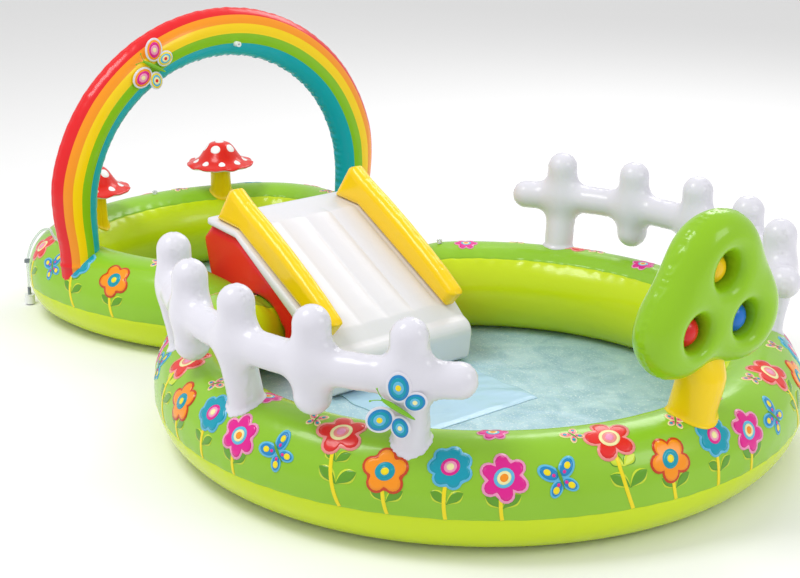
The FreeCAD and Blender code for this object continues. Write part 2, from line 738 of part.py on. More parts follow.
os.makedirs("parts", exist_ok=True)
export("large_ring_printed_skin", large_ring_part(SEAM_HIGH, SEAM_LOW))
export("large_ring_lime_skin", large_ring_part(SEAM_LOW, SEAM_HIGH + FULL_TURN))
export("small_ring_printed_skin", small_ring_part(SEAM_HIGH, SEAM_LOW))
export("small_ring_lime_skin", small_ring_part(SEAM_LOW, SEAM_HIGH + FULL_TURN))
export("large_basin_floor", large_floor())
export("small_basin_floor", small_floor())
export("rainbow_arch", arch())
export("sprayer_nozzle", nozzle())
export("front_fence", fence(-1))
export("back_fence", fence(1))
export("tree_crown", crown())
export("tree_trunk", trunk())
for colour, hole_y, hole_z in BALL_HOLES:
    export("ball_" + colour, tree_ball(hole_y, hole_z))
for place, cap_x, cap_y in mushroom_spots():
    export("mushroom_cap_" + place, mushroom_cap(cap_x, cap_y))
    export("mushroom_stalk_" + place, mushroom_stalk(cap_x, cap_y))
export("slide_deck", deck())
export("slide_base", slide_base())
export("slide_bolster_near", bolster(-1))
export("slide_bolster_far", bolster(1))
export("landing_mat", landing_mat())
the_tube = sprayer_tube()
export("sprayer_tube", the_tube)
export("tube_clip", tube_clip(the_tube))
export("hose_coupling", hose_coupling())
export("hose_tail", hose_tail())
for place, spot, facing in butterflies():
    export("butterfly_body_" + place,
           placed(butterfly_body(), spot, facing, BUTTERFLY_LEAN))
    for wing_name, wing_side in (("upper", -1), ("lower", 1)):
        export("butterfly_%s_wing_%s" % (wing_name, place),
               placed(butterfly_wing(wing_side), spot, facing, BUTTERFLY_LEAN))
fixed_stems = []
for chamber_name, spot, facing, host_solid in valves():
    stem_shape = valve_stem(spot, facing, host_solid)
    if chamber_name == "slide":
        export("slide_valve_stem", stem_shape)
    else:
        fixed_stems.append(stem_shape)
    export("valve_cap_" + chamber_name, valve_cap(spot, facing))
export("valve_stems", Part.makeCompound(fixed_stems))
export("drain_socket", drain_socket())
export("drain_plug", drain_plug())
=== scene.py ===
"""Looks of an inflatable garden play pool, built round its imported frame.  Metres, +Z up."""

import math

import bpy
import numpy as np
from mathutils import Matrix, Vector


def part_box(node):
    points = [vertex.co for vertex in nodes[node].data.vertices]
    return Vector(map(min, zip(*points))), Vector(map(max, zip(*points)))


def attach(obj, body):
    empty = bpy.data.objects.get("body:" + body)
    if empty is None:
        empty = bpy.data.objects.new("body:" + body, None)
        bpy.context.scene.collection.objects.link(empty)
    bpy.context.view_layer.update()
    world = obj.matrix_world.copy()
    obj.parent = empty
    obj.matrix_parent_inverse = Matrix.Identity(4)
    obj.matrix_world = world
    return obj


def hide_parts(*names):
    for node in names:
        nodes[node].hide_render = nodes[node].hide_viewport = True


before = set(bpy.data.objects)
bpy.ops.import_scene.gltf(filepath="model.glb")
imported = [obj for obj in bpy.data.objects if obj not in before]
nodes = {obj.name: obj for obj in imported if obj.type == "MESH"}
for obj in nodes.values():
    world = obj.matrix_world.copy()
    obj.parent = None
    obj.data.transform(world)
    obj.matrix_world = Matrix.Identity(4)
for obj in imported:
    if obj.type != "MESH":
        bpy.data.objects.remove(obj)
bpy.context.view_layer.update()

# ------------------------------------------------------------------ sizes and places
ring_low, ring_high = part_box("large_ring_printed_skin")
RING_TOP = ring_high.z
HALF_HEIGHT = RING_TOP / 2
HALF_WIDTH = 0.128
SECTION_R = 0.137                # mean radius of a ring's section
SEAM_LOW, SEAM_HIGH = math.radians(100), math.radians(-38)
SKIN = 0.002                     # a shown skin's own thickness

LARGE_X = (ring_low.x + ring_high.x) / 2
LARGE_R = (ring_high.x - ring_low.x) / 2 - HALF_WIDTH
DIVIDER_X = LARGE_X - LARGE_R

small_low, small_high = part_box("small_ring_printed_skin")
END_X = small_low.x + HALF_WIDTH
WIDE_X = END_X + 0.345
WIDE_Y = small_high.y - HALF_WIDTH
CORNER_R, WAIST_R, WAIST_TURN = 0.275, 0.820, 58.0

arch_low, arch_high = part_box("rainbow_arch")
ARCH_X = (arch_low.x + arch_high.x) / 2
ARCH_HALF_THICK = (arch_high.x - arch_low.x) / 2
ARCH_HALF_DEPTH = 0.081
ARCH_R = arch_high.y - ARCH_HALF_DEPTH
SPRING_Z = arch_high.z - ARCH_HALF_DEPTH - ARCH_R

FENCE_R = LARGE_R + 0.055
RAIL_R, PICKET_R = 0.045, 0.048
PICKET_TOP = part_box("front_fence")[1].z
FENCE_Z = PICKET_TOP - 0.150
PICKET_HANG = RING_TOP + 0.028
PICKETS = (120, 103, 86, 69, 52)
RAIL_STUB = 8
LEG_LOW = RING_TOP - 0.065
LEG_LEAN = 0.022
RAIL_FIRST = math.radians(PICKETS[-1] - RAIL_STUB) * FENCE_R
RAIL_LAST = math.radians(PICKETS[0] + RAIL_STUB) * FENCE_R

crown_low, crown_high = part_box("tree_crown")
TREE_X = (crown_low.x + crown_high.x) / 2
CROWN_HALF = (crown_high.x - crown_low.x) / 2
LOBES = ((0, crown_high.z - 0.148, 0.148), (-0.105, crown_low.z + 0.128, 0.128),
         (0.105, crown_low.z + 0.128, 0.128))
CROWN_LEAN = 0.05
HOLE_R = 0.045
HOLES = [((low.y + high.y) / 2, (low.z + high.z) / 2 + 0.0047)
         for low, high in (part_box("ball_" + c) for c in ("yellow", "red", "blue"))]
TRUNK_R, TRUNK_LEAN = 0.064, 0.026

deck_low, deck_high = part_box("slide_deck")
DECK_HALF = deck_high.y
DECK_THICK = 0.034
DECK_SHOWN = 0.024               # the white edge that shows over the red side
REAR = (deck_low.x, deck_high.z)
KNEE = (deck_low.x + 0.165, deck_high.z - 0.010)
LIP = (deck_high.x, deck_low.z + DECK_THICK)
base_low, base_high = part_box("slide_base")
MAT_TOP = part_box("landing_mat")[1].z


# ------------------------------------------------------------------ meshes from arrays
def full_turn(count):
    """Angles evenly round a circle."""
    return np.linspace(0, 2 * math.pi, count, endpoint=False)


def pairs(first, second):
    """Every value of one row with every value of another, as two grids."""
    return np.meshgrid(first, second, indexing="ij")


def grid_quads(m, n, ring=False, tube=True):
    """Quads from each of m rows of n points to the next row.

    The last row joins the first for a ring, and each row closes on itself for a tube.
    """
    i, j = pairs(np.arange(m if ring else m - 1), np.arange(n if tube else n - 1))
    after, beside = (i + 1) % m, (j + 1) % n
    quads = np.stack([i * n + j, after * n + j, after * n + beside, i * n + beside], -1)
    return quads.reshape(-1, 4)


def fan(hub, count, start=0):
    """Triangles from a hub point to each edge of a closed loop of points."""
    k = np.arange(count)
    return np.stack([np.full(count, hub), start + k, start + (k + 1) % count], -1)


def joined(parts):
    """One mesh from several: points, quads, triangles, and any rows that go with them."""
    counts = np.cumsum([0] + [len(part[0]) for part in parts[:-1]])
    moved = [(part[0], part[1] + count, part[2] + count, *part[3:])
             for part, count in zip(parts, counts)]
    return tuple(np.concatenate(rows) for rows in zip(*moved))


def enclosed(points, faces):
    """Signed volume: a sixth of the sum of triple products over the fan triangles."""
    total = 0.0
    for group in faces:
        a = points[group[:, 0]]
        for k in range(1, group.shape[1] - 1):
            total += np.einsum("ij,ij->i", a, np.cross(points[group[:, k]],
                                                       points[group[:, k + 1]])).sum()
    return total / 6


def mesh_object(name, points, faces, materials, slots=None, bands=None):
    """A smooth mesh piece from vertex rows and lists of quads and triangles."""
    groups = [np.asarray(g, int) for g in faces if len(g)]
    mesh = bpy.data.meshes.new(name)
    loops = np.concatenate([g.ravel() for g in groups])
    sizes = np.concatenate([np.full(len(g), g.shape[1]) for g in groups])
    mesh.vertices.add(len(points))
    mesh.vertices.foreach_set("co", np.asarray(points, np.float32).ravel())
    mesh.loops.add(len(loops))
    mesh.loops.foreach_set("vertex_index", loops.astype(np.int32))
    mesh.polygons.add(len(sizes))
    starts = np.concatenate([[0], np.cumsum(sizes)[:-1]])
    mesh.polygons.foreach_set("loop_start", starts.astype(np.int32))
    mesh.polygons.foreach_set("loop_total", sizes.astype(np.int32))
    mesh.polygons.foreach_set("use_smooth", np.full(len(sizes), True))
    for material in materials:
        mesh.materials.append(material)
    if slots is not None:
        mesh.polygons.foreach_set("material_index", np.asarray(slots, np.int32))
    if bands is not None:
        mesh.attributes.new("band", "FLOAT", "POINT").data.foreach_set(
            "value", np.asarray(bands, np.float32))
    mesh.update(calc_edges=True)
    mesh.validate()
    piece = bpy.data.objects.new(name, mesh)
    bpy.context.scene.collection.objects.link(piece)
    return piece


def loft(rows, ring=False):
    """Points and faces of closed loops carried along a path, rows[m][n] of points.

    Quads join each loop to the next.  The path closes on itself for a ring, and
    otherwise each end is closed by a fan round the loop's middle.
    """
    rows = np.asarray(rows, float)
    m, n = rows.shape[:2]
    points = rows.reshape(-1, 3)
    quads = grid_quads(m, n, ring)
    fans = np.zeros((0, 3), int)
    if not ring:
        ends = np.stack([rows[0].mean(0), rows[-1].mean(0)])
        points = np.concatenate([points, ends])
        last_fan = fan(m * n + 1, n, (m - 1) * n)
        fans = np.concatenate([fan(m * n, n), last_fan[:, [0, 2, 1]]])
    if enclosed(points, [quads, fans]) < 0:
        quads, fans = quads[:, ::-1], fans[:, ::-1]
    return points, [quads, fans]


def waves(*terms):
    """A sum of sines: each term is an array in radians and its share."""
    return sum(share * np.sin(angle) for angle, share in terms)


def eased(share):
    """A share held between nought and one, soft at both ends: 3 s^2 - 2 s^3."""
    share = np.clip(share, 0, 1)
    return share ** 2 * (3 - 2 * share)


def smooth_min(a, b, k):
    """The lower of two distances, with a fillet of size k where they cross."""
    h = np.clip(0.5 + 0.5 * (b - a) / k, 0, 1)
    return b * (1 - h) + a * h - k * h * (1 - h)


def surface_net(distance, low, high, step):
    """Points and quads where a distance function is zero.

    Each grid cell that the surface crosses holds one point, the mean of the crossings
    on its edges; each crossed grid edge gives a quad of its four cells.  The points
    are then drawn onto the surface along the distance's slope.
    """
    axes = [np.arange(a - step, b + 2 * step, step) for a, b in zip(low, high)]
    grid = np.stack(np.meshgrid(*axes, indexing="ij"), -1)
    d = distance(grid)
    shape = np.array(d.shape) - 1
    total = np.zeros((*shape, 3))
    count = np.zeros(shape)
    quads = []
    number = np.arange(int(np.prod(shape))).reshape(shape)
    for axis in range(3):
        others = [k for k in range(3) if k != axis]
        d0 = np.take(d, np.arange(d.shape[axis] - 1), axis)
        d1 = np.take(d, np.arange(1, d.shape[axis]), axis)
        crossed = (d0 < 0) != (d1 < 0)
        at = np.argwhere(crossed)
        share = d0[crossed] / (d0[crossed] - d1[crossed])
        spots = grid[tuple(at.T)].copy()
        spots[:, axis] += share * step
        rising = d0[crossed] < 0
        cells = []
        for u, v in ((0, 0), (1, 0), (1, 1), (0, 1)):
            cell = at.copy()
            cell[:, others[0]] -= u
            cell[:, others[1]] -= v
            ok = np.all((cell >= 0) & (cell < shape), 1)
            np.add.at(total, tuple(cell[ok].T), spots[ok])
            np.add.at(count, tuple(cell[ok].T), 1)
            cells.append(number[tuple(np.clip(cell, 0, shape - 1).T)])
        quad = np.stack(cells, -1)
        flip = rising if axis == 1 else ~rising
        quad[flip] = quad[flip][:, ::-1]
        quads.append(quad)
    used = count > 0
    index = np.full(shape, -1)
    index[used] = np.arange(used.sum())
    points = total[used] / count[used][:, None]
    faces = index.ravel()[np.concatenate(quads)]
    for _ in range(3):
        slope = gradient(distance, points)
        away = distance(points)[:, None] * slope
        length = np.maximum((slope ** 2).sum(1, keepdims=True), 0.05)
        points -= np.clip(away / length, -step, step)
    return points, faces


def gradient(distance, points, reach=0.0005):
    """Slope of a distance function by central differences."""
    slopes = []
    for axis in range(3):
        shift = np.zeros(3)
        shift[axis] = reach
        slopes.append((distance(points + shift) - distance(points - shift)) / (2 * reach))
    return np.stack(slopes, -1)


def unit(vectors):
    """The same directions with length one."""
    return vectors / np.maximum(np.linalg.norm(vectors, axis=-1, keepdims=True), 1e-9)


GROOVE_DEEP, GROOVE_WIDE = 0.0016, 0.0030
PUCKER_HIGH, PUCKER_REACH = 0.0011, 0.020


def weld_relief(off_seam, along, amount=1.0, pitch=0.026):
    """How far a skin stands out near a weld: a fine groove, and puckers that fade away.

    The puckers are sines along the weld whose size falls off as a bell curve.
    """
    groove = -GROOVE_DEEP * np.exp(-(off_seam / GROOVE_WIDE) ** 2)
    ripple = waves((along * 2 * math.pi / pitch, 0.6),
                   (along * 2 * math.pi / (pitch * 1.63) + 1.3, 0.5),
                   (along * 2 * math.pi / (pitch * 3.1) + 0.4, 0.4))
    return groove + amount * PUCKER_HIGH * ripple * np.exp(-(off_seam / PUCKER_REACH) ** 2)


# ------------------------------------------------------------------ materials
def new_group(name, inputs, outputs):
    """A shader group with named sockets: itself, its input node and its output node."""
    group = bpy.data.node_groups.new(name, "ShaderNodeTree")
    for label, kind, value in inputs:
        socket = group.interface.new_socket(label, in_out="INPUT", socket_type=kind)
        socket.default_value = value
    for label, kind in outputs:
        group.interface.new_socket(label, in_out="OUTPUT", socket_type=kind)
    return group, group.nodes.new("NodeGroupInput"), group.nodes.new("NodeGroupOutput")


def node(tree, kind, links=(), **settings):
    """A node, its settings, and its inputs: sockets to link or values to set."""
    made = tree.nodes.new("ShaderNode" + kind)
    for key, value in settings.items():
        setattr(made, key, value)
    for label, source in dict(links).items():
        if isinstance(source, bpy.types.NodeSocket):
            tree.links.new(source, made.inputs[label])
        else:
            made.inputs[label].default_value = source
    return made


def film_group():
    """Vinyl film: cloudy colour, slightly uneven gloss, and soft creases."""
    group, given, result = new_group(
        "vinyl_film",
        [("Color", "NodeSocketColor", (1, 1, 1, 1)),
         ("Cloud", "NodeSocketFloat", 0.10),
         ("Roughness", "NodeSocketFloat", 0.2)],
        [("Color", "NodeSocketColor"), ("Roughness", "NodeSocketFloat"),
         ("Height", "NodeSocketFloat")])
    place = node(group, "TexCoord").outputs["Object"]
    cloud = node(group, "TexNoise", {"Vector": place, "Scale": 3.5, "Detail": 3.0})
    grain = node(group, "TexNoise", {"Vector": place, "Scale": 260.0, "Detail": 2.0})
    crease = node(group, "TexNoise", {"Vector": place, "Scale": 9.0, "Detail": 2.0,
                                      "Distortion": 0.6})
    darker = node(group, "HueSaturation", {"Saturation": 1.06, "Value": 0.86,
                                           "Color": given.outputs["Color"]})
    amount = node(group, "Math", {0: cloud.outputs["Fac"], 1: given.outputs["Cloud"]},
                  operation="MULTIPLY")
    amount = node(group, "Math", {0: amount.outputs[0], 1: 2.0}, operation="MULTIPLY")
    mixed = node(group, "Mix", {0: amount.outputs[0]}, data_type="RGBA")
    group.links.new(given.outputs["Color"], mixed.inputs[6])
    group.links.new(darker.outputs[0], mixed.inputs[7])
    uneven = node(group, "MapRange", {"Value": grain.outputs["Fac"], "To Min": -0.03,
                                      "To Max": 0.03})
    rough = node(group, "Math", {0: given.outputs["Roughness"], 1: uneven.outputs[0]})
    fine = node(group, "Math", {0: grain.outputs["Fac"], 1: 0.02}, operation="MULTIPLY")
    height = node(group, "Math", {0: crease.outputs["Fac"], 1: fine.outputs[0]})
    group.links.new(mixed.outputs[2], result.inputs["Color"])
    group.links.new(rough.outputs[0], result.inputs["Roughness"])
    group.links.new(height.outputs[0], result.inputs["Height"])
    return group


FILM = film_group()


def start_material(name, coat):
    """A new material with its clear coat set: itself, its tree and its shader."""
    material = bpy.data.materials.new(name)
    material.use_nodes = True
    tree = material.node_tree
    shader = tree.nodes["Principled BSDF"]
    shader.inputs["Coat Weight"].default_value = coat
    shader.inputs["Coat Roughness"].default_value = 0.06
    shader.inputs["Specular IOR Level"].default_value = 0.30
    return material, tree, shader


def film_material(name, color, cloud=0.12, rough=0.24, coat=0.16, crease=0.25, source=None):
    """Glossy vinyl of one colour, or of a colour socket made by source(tree)."""
    material, tree, shader = start_material(name, coat)
    film = node(tree, "Group", node_tree=FILM)
    film.inputs["Cloud"].default_value = cloud
    film.inputs["Roughness"].default_value = rough
    if source:
        tree.links.new(source(tree), film.inputs["Color"])
    else:
        film.inputs["Color"].default_value = (*color, 1)
    bump = node(tree, "Bump", {"Height": film.outputs["Height"], "Strength": crease,
                               "Distance": 0.01})
    tree.links.new(film.outputs["Color"], shader.inputs["Base Color"])
    tree.links.new(film.outputs["Roughness"], shader.inputs["Roughness"])
    tree.links.new(bump.outputs["Normal"], shader.inputs["Normal"])
    return material


RAINBOW = ((0.74, 0.012, 0.016), (0.93, 0.31, 0.010), (0.99, 0.68, 0.004),
           (0.25, 0.57, 0.010), (0.0, 0.42, 0.52))
STRIPE_STARTS = (0.0, 0.20, 0.345, 0.50, 0.66)


def rainbow_stripes(tree):
    """Five stripes from the arch's outer edge to its inner edge; the last one is wide."""
    band = node(tree, "Attribute", attribute_name="band").outputs["Fac"]
    ramp = node(tree, "ValToRGB", {"Fac": band})
    ramp.color_ramp.interpolation = "CONSTANT"
    edges = ramp.color_ramp.elements
    while len(edges) < len(RAINBOW):
        edges.new(1.0)
    for k, color in enumerate(RAINBOW):
        edges[k].position = STRIPE_STARTS[k]
        edges[k].color = (*color, 1)
    return ramp.outputs["Color"]


def pool_floor_color(tree):
    """Pale blue print with broken ripple lines and a fine pale speckle."""
    place = node(tree, "TexCoord").outputs["Object"]
    ripple = node(tree, "TexNoise", {"Vector": place, "Scale": 7.0, "Detail": 5.0,
                                     "Distortion": 1.6})
    base = node(tree, "ValToRGB", {"Fac": ripple.outputs["Fac"]})
    base.color_ramp.elements[0].position = 0.35
    base.color_ramp.elements[0].color = (0.33, 0.53, 0.66, 1)
    base.color_ramp.elements[1].position = 0.68
    base.color_ramp.elements[1].color = (0.52, 0.72, 0.82, 1)
    speckle = node(tree, "TexNoise", {"Vector": place, "Scale": 190.0, "Detail": 3.0})
    dots = node(tree, "MapRange", {"Value": speckle.outputs["Fac"], "From Min": 0.56,
                                   "From Max": 0.70})
    mixed = node(tree, "Mix", {0: dots.outputs[0]}, data_type="RGBA")
    tree.links.new(base.outputs[0], mixed.inputs[6])
    mixed.inputs[7].default_value = (0.72, 0.83, 0.88, 1)
    return mixed.outputs[2]


def clear_material(name, color, roughness):
    """Soft clear plastic that lets most of the light through."""
    material, tree, shader = start_material(name, 0.0)
    film = node(tree, "Group", node_tree=FILM)
    film.inputs["Color"].default_value = (*color, 1)
    film.inputs["Roughness"].default_value = roughness
    tree.links.new(film.outputs["Roughness"], shader.inputs["Roughness"])
    tree.links.new(film.outputs["Color"], shader.inputs["Base Color"])
    shader.inputs["Transmission Weight"].default_value = 0.75
    shader.inputs["IOR"].default_value = 1.4
    return material


printed_green = film_material("printed_green", (0.29, 0.57, 0.035), cloud=0.30)
lime = film_material("lime_film", (0.60, 0.76, 0.008))
rainbow = film_material("rainbow_film", None, cloud=0.10, source=rainbow_stripes)
white_film = film_material("fence_white", (0.74, 0.73, 0.80), cloud=0.04, rough=0.26)
deck_white = film_material("deck_white", (0.76, 0.75, 0.80), cloud=0.05, rough=0.38,
                           coat=0.1)
slide_red = film_material("slide_red", (0.80, 0.008, 0.014))
rail_yellow = film_material("rail_yellow", (0.99, 0.64, 0.002), cloud=0.06)
trunk_yellow = film_material("trunk_yellow", (0.95, 0.66, 0.002), cloud=0.10)
tree_green = film_material("tree_green", (0.29, 0.57, 0.014), cloud=0.22)
cap_red = film_material("cap_red", (0.76, 0.018, 0.010), cloud=0.25)
cap_cream = film_material("cap_cream", (0.86, 0.80, 0.68))
spot_white = film_material("spot_white", (0.90, 0.90, 0.90), cloud=0.04)
stalk_yellow = film_material("stalk_yellow", (1.0, 0.70, 0.004))
floor_blue = film_material("floor_blue", None, cloud=0.06, rough=0.30, crease=0.6,
                           source=pool_floor_color)
mat_blue = film_material("mat_blue", (0.46, 0.68, 0.86), cloud=0.35, crease=0.6)
clear_tube = clear_material("clear_tube", (0.88, 0.94, 0.95), 0.15)
valve_clear = clear_material("valve_clear", (0.90, 0.93, 0.94), 0.22)
grey_plastic = film_material("grey_plastic", (0.20, 0.23, 0.27), rough=0.4, crease=0.05)
white_plastic = film_material("white_plastic", (0.85, 0.87, 0.88), rough=0.3, crease=0.05)
ball_mats = {
    "yellow": film_material("ball_yellow_plastic", (0.95, 0.58, 0.01), crease=0.05),
    "red": film_material("ball_red_plastic", (0.72, 0.012, 0.015), crease=0.05),
    "blue": film_material("ball_blue_plastic", (0.01, 0.16, 0.62), crease=0.05)}

INKS = {
    "red": (0.78, 0.025, 0.022), "rose": (0.92, 0.30, 0.28), "magenta": (0.76, 0.012, 0.28),
    "pink": (0.90, 0.33, 0.55), "orange": (0.95, 0.30, 0.008), "rust": (0.62, 0.055, 0.012),
    "yellow": (0.90, 0.72, 0.010), "cream": (0.93, 0.86, 0.42), "teal": (0.0, 0.33, 0.45),
    "sky": (0.12, 0.50, 0.76), "blue": (0.010, 0.24, 0.55), "leaf": (0.62, 0.75, 0.04),
    "moss": (0.12, 0.34, 0.020), "white": (0.90, 0.90, 0.92), "grass": (0.20, 0.50, 0.02)}
ink_names = list(INKS)
ink_films = [film_material("ink_" + name, INKS[name], cloud=0.10) for name in ink_names]


# ------------------------------------------------------------------ the rings
def small_ring_arcs():
    """Plan arcs as centre x, centre y, radius, start and turn in radians, one way round.

    The end arc touches the outermost point and both corner arcs.
    """
    reach, drop = WIDE_X - END_X, WIDE_Y - CORNER_R
    end_r = (reach ** 2 + drop ** 2 - CORNER_R ** 2) / (2 * (reach - CORNER_R))
    end_x = END_X + end_r
    half = math.atan2(drop, end_x - WIDE_X)
    quarter, waist = math.pi / 2, math.radians(WAIST_TURN)
    waist_y = WAIST_R - WIDE_Y
    return [(WIDE_X, -waist_y, WAIST_R, quarter - waist, waist),
            (WIDE_X, drop, CORNER_R, quarter, quarter - half),
            (end_x, 0.0, end_r, math.pi - half, 2 * half),
            (WIDE_X, -drop, CORNER_R, math.pi + half, quarter - half),
            (WIDE_X, waist_y, WAIST_R, 3 * quarter, waist)]


SAG = 0.26                       # share of its height the divider gives way under the slide
SAG_REACH = 0.36


def sagged(x, y):
    """Height share of a ring tube: a flat-bottomed bell of sag round the divider's middle."""
    away = np.hypot(x - DIVIDER_X, y)
    return 1 - SAG * np.exp(-(away / SAG_REACH) ** 6)


class Ring:
    """A ring tube: plan arcs, with an upright ellipse as its section.

    Its height gives way under the slide by a share.
    """

    def __init__(self, arcs):
        self.arcs = np.array(arcs)
        lengths = self.arcs[:, 2] * self.arcs[:, 4]
        self.starts = np.concatenate([[0], np.cumsum(lengths)])
        self.length = self.starts[-1]
        section = np.linspace(SEAM_LOW, SEAM_HIGH, 400)
        middle = (section[1:] + section[:-1]) / 2
        step = abs(section[1] - section[0])
        runs = step * np.hypot(HALF_WIDTH * np.cos(middle), HALF_HEIGHT * np.sin(middle))
        self.section = section
        self.climb = np.concatenate([[0], np.cumsum(runs)])
        self.print_width = self.climb[-1]

    def angle_at(self, climbed):
        """Section angle at a distance up the skin from the low seam."""
        return np.interp(climbed, self.climb, self.section)

    def plan(self, along):
        """Centre line points, outward directions and radii at running lengths."""
        along = np.clip(along, 0, self.length - 1e-9)
        which = np.searchsorted(self.starts, along, side="right") - 1
        arc = self.arcs[which]
        angle = arc[..., 3] + (along - self.starts[which]) / arc[..., 2]
        out = np.stack([np.cos(angle), np.sin(angle)], -1)
        return arc[..., :2] + arc[..., 2:3] * out, out, arc[..., 2]

    def points(self, along, section, lift=0.0):
        """Points on the tube: out by W sin t and up by H + H cos t, plus the weld relief."""
        centre, out, _ = self.plan(along)
        sine, cosine = np.sin(section), np.cos(section)
        length = np.hypot(sine / HALF_WIDTH, cosine / HALF_HEIGHT)
        normal_out, normal_up = sine / HALF_WIDTH / length, cosine / HALF_HEIGHT / length
        relief = lift
        for seam, amount in ((SEAM_LOW, 0.9), (SEAM_HIGH, 1.5)):
            off = (np.mod(section - seam + math.pi, 2 * math.pi) - math.pi) * SECTION_R
            relief = relief + weld_relief(off, along, amount, 0.055)
        wide = HALF_WIDTH * sine + normal_out * relief
        high = HALF_HEIGHT * (1 + cosine) * sagged(centre[..., 0], centre[..., 1])
        high = np.maximum(high + normal_up * relief, 0.0)
        return np.concatenate([centre + out * wide[..., None], high[..., None]], -1)


large_ring = Ring([(LARGE_X, 0.0, LARGE_R, -math.pi, 2 * math.pi)])
small_ring = Ring(small_ring_arcs())


def skin_rows(ring, start, end, across, along):
    """Loops of a thin skin strip between two section angles: out one side, back inside."""
    share = (1 - np.cos(np.linspace(0, math.pi, across))) / 2
    section = start + (end - start) * share
    back = section[::-4]
    s, t = pairs(along, np.concatenate([section, back]))
    lift = np.concatenate([np.zeros(across), np.full(len(back), -SKIN)])
    return ring.points(s, t, lift[None, :])


def ring_skins():
    """The printed and the lime skin of each ring; the large ring closes on itself."""
    for name, ring, steps in (("large_ring", large_ring, 760), ("small_ring", small_ring, 420)):
        closed = name == "large_ring"
        along = np.linspace(0, ring.length, steps + 1)
        along = along[:-1] if closed else along
        for part, start, end, film, across in (
                ("printed_skin", SEAM_HIGH, SEAM_LOW, printed_green, 56),
                ("lime_skin", SEAM_LOW, SEAM_HIGH + 2 * math.pi, lime, 60)):
            rows = skin_rows(ring, start, end, across, along)
            points, faces = loft(rows, ring=closed)
            piece = mesh_object("%s_%s_film" % (name, part), points, faces, [film])
            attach(piece, "pool")
            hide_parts("%s_%s" % (name, part))


# ------------------------------------------------------------------ printed motifs
SUNK = -0.0010                   # how far an outline's rim goes below the skin


def layer_lift(layer):
    """How far a layer of ink stands above the skin."""
    return 0.0006 + 0.00035 * layer


class Print:
    """Inked outlines in flat coordinates: metres to the right, up, and lift by layer."""

    def __init__(self):
        self.parts = []

    def add(self, flat, quads, fans, ink):
        number = ink_names.index(ink)
        self.parts.append((flat, quads, fans, np.full(len(quads), number),
                           np.full(len(fans), number)))

    def shape(self, middle, radius_at, ink, layer, around=40, rings=6):
        """A filled outline: middle plus shares of radius_at(angle), its rim sunk under."""
        angle = full_turn(around)
        shares = np.append(np.arange(1, rings + 1) / rings, 1.0)
        reach = shares[:, None] * radius_at(angle)[None, :]
        lift = np.full(len(shares), layer_lift(layer))
        lift[-1] = SUNK
        x = middle[0] + reach * np.cos(angle)
        y = middle[1] + reach * np.sin(angle)
        flat = np.stack([x, y, np.broadcast_to(lift[:, None], x.shape)], -1).reshape(-1, 3)
        flat = np.concatenate([flat, [[middle[0], middle[1], layer_lift(layer)]]])
        self.add(flat, grid_quads(rings + 1, around), fan(len(flat) - 1, around), ink)

    def ribbon(self, start, end, bow, width_at, ink, layer, steps=18):
        """A strip along a bowed line: half widths are width_at(share of its length)."""
        share = np.linspace(0, 1, steps)
        start, end = np.array(start, float), np.array(end, float)
        run = end - start
        side = np.array([-run[1], run[0]])
        line = start + share[:, None] * run + (bow * 4 * share * (1 - share))[:, None] * side
        half = width_at(share)
        across = np.array([-1, -1, -0.5, 0, 0.5, 1, 1.0])
        lift = np.where(np.arange(len(across)) % 6 == 0, SUNK, layer_lift(layer))
        ahead = unit(np.gradient(line, axis=0))
        normal = np.stack([-ahead[:, 1], ahead[:, 0]], -1)
        spots = line[:, None] + half[:, None, None] * across[None, :, None] * normal[:, None]
        flat = np.concatenate([spots, np.broadcast_to(lift[None, :, None],
                                                      (*spots.shape[:2], 1))], -1)
        quads = grid_quads(steps, len(across), tube=False)
        self.add(flat.reshape(-1, 3), quads, np.zeros((0, 3), int), ink)

    def arrays(self):
        """Points, quads, triangles, and the ink numbers of both."""
        return joined(self.parts)


def scallop(size, petals, depth, turn=0.0, power=0.7):
    """Radius of a petalled outline: a share depth of it swells with each petal."""
    def radius(angle):
        lobe = np.abs(np.cos((angle - turn) * petals / 2)) ** power
        return size * (1 - depth + depth * lobe)
    return radius


def oval(long, wide, turn=0.0):
    """Radius of an ellipse about its middle."""
    def radius(angle):
        a = angle - turn
        return long * wide / np.hypot(wide * np.cos(a), long * np.sin(a))
    return radius


def leaf_width(half):
    """A leaf's half width: widest past the middle, pointed at both ends."""
    def width(share):
        return half * np.sin(math.pi * share ** 1.3) ** 0.8 + 0.0004
    return width


def even(half):
    """One half width all the way along."""
    return lambda share: np.full(len(share), half)


FLOWERS = {
    # halo, petals, centre ring, inner ring, heart, number of petals, depth
    "pink": ("pink", "magenta", "sky", "cream", "orange", 6, 0.42),
    "orange": ("rust", "orange", "teal", "teal", "yellow", 5, 0.40),
    "teal": ("sky", "teal", "magenta", "pink", "cream", 7, 0.24),
    "red": ("rose", "red", "cream", "rose", "pink", 5, 0.52)}


def flower(sheet, kind, x, y, size, turn):
    """Halo, petals and ringed heart."""
    halo, petals, ring, inner, heart, number, depth = FLOWERS[kind]
    sheet.shape((x, y), scallop(size, number, depth * 0.8, turn), halo, 3)
    sheet.shape((x, y), scallop(size * 0.90, number, depth, turn, 0.8), petals, 4)
    sheet.shape((x, y), oval(size * 0.42, size * 0.37, turn), ring, 5, 28, 4)
    sheet.shape((x, y), oval(size * 0.29, size * 0.25, turn), inner, 6, 24, 3)
    sheet.shape((x, y), oval(size * 0.17, size * 0.15, turn), heart, 7, 20, 2)


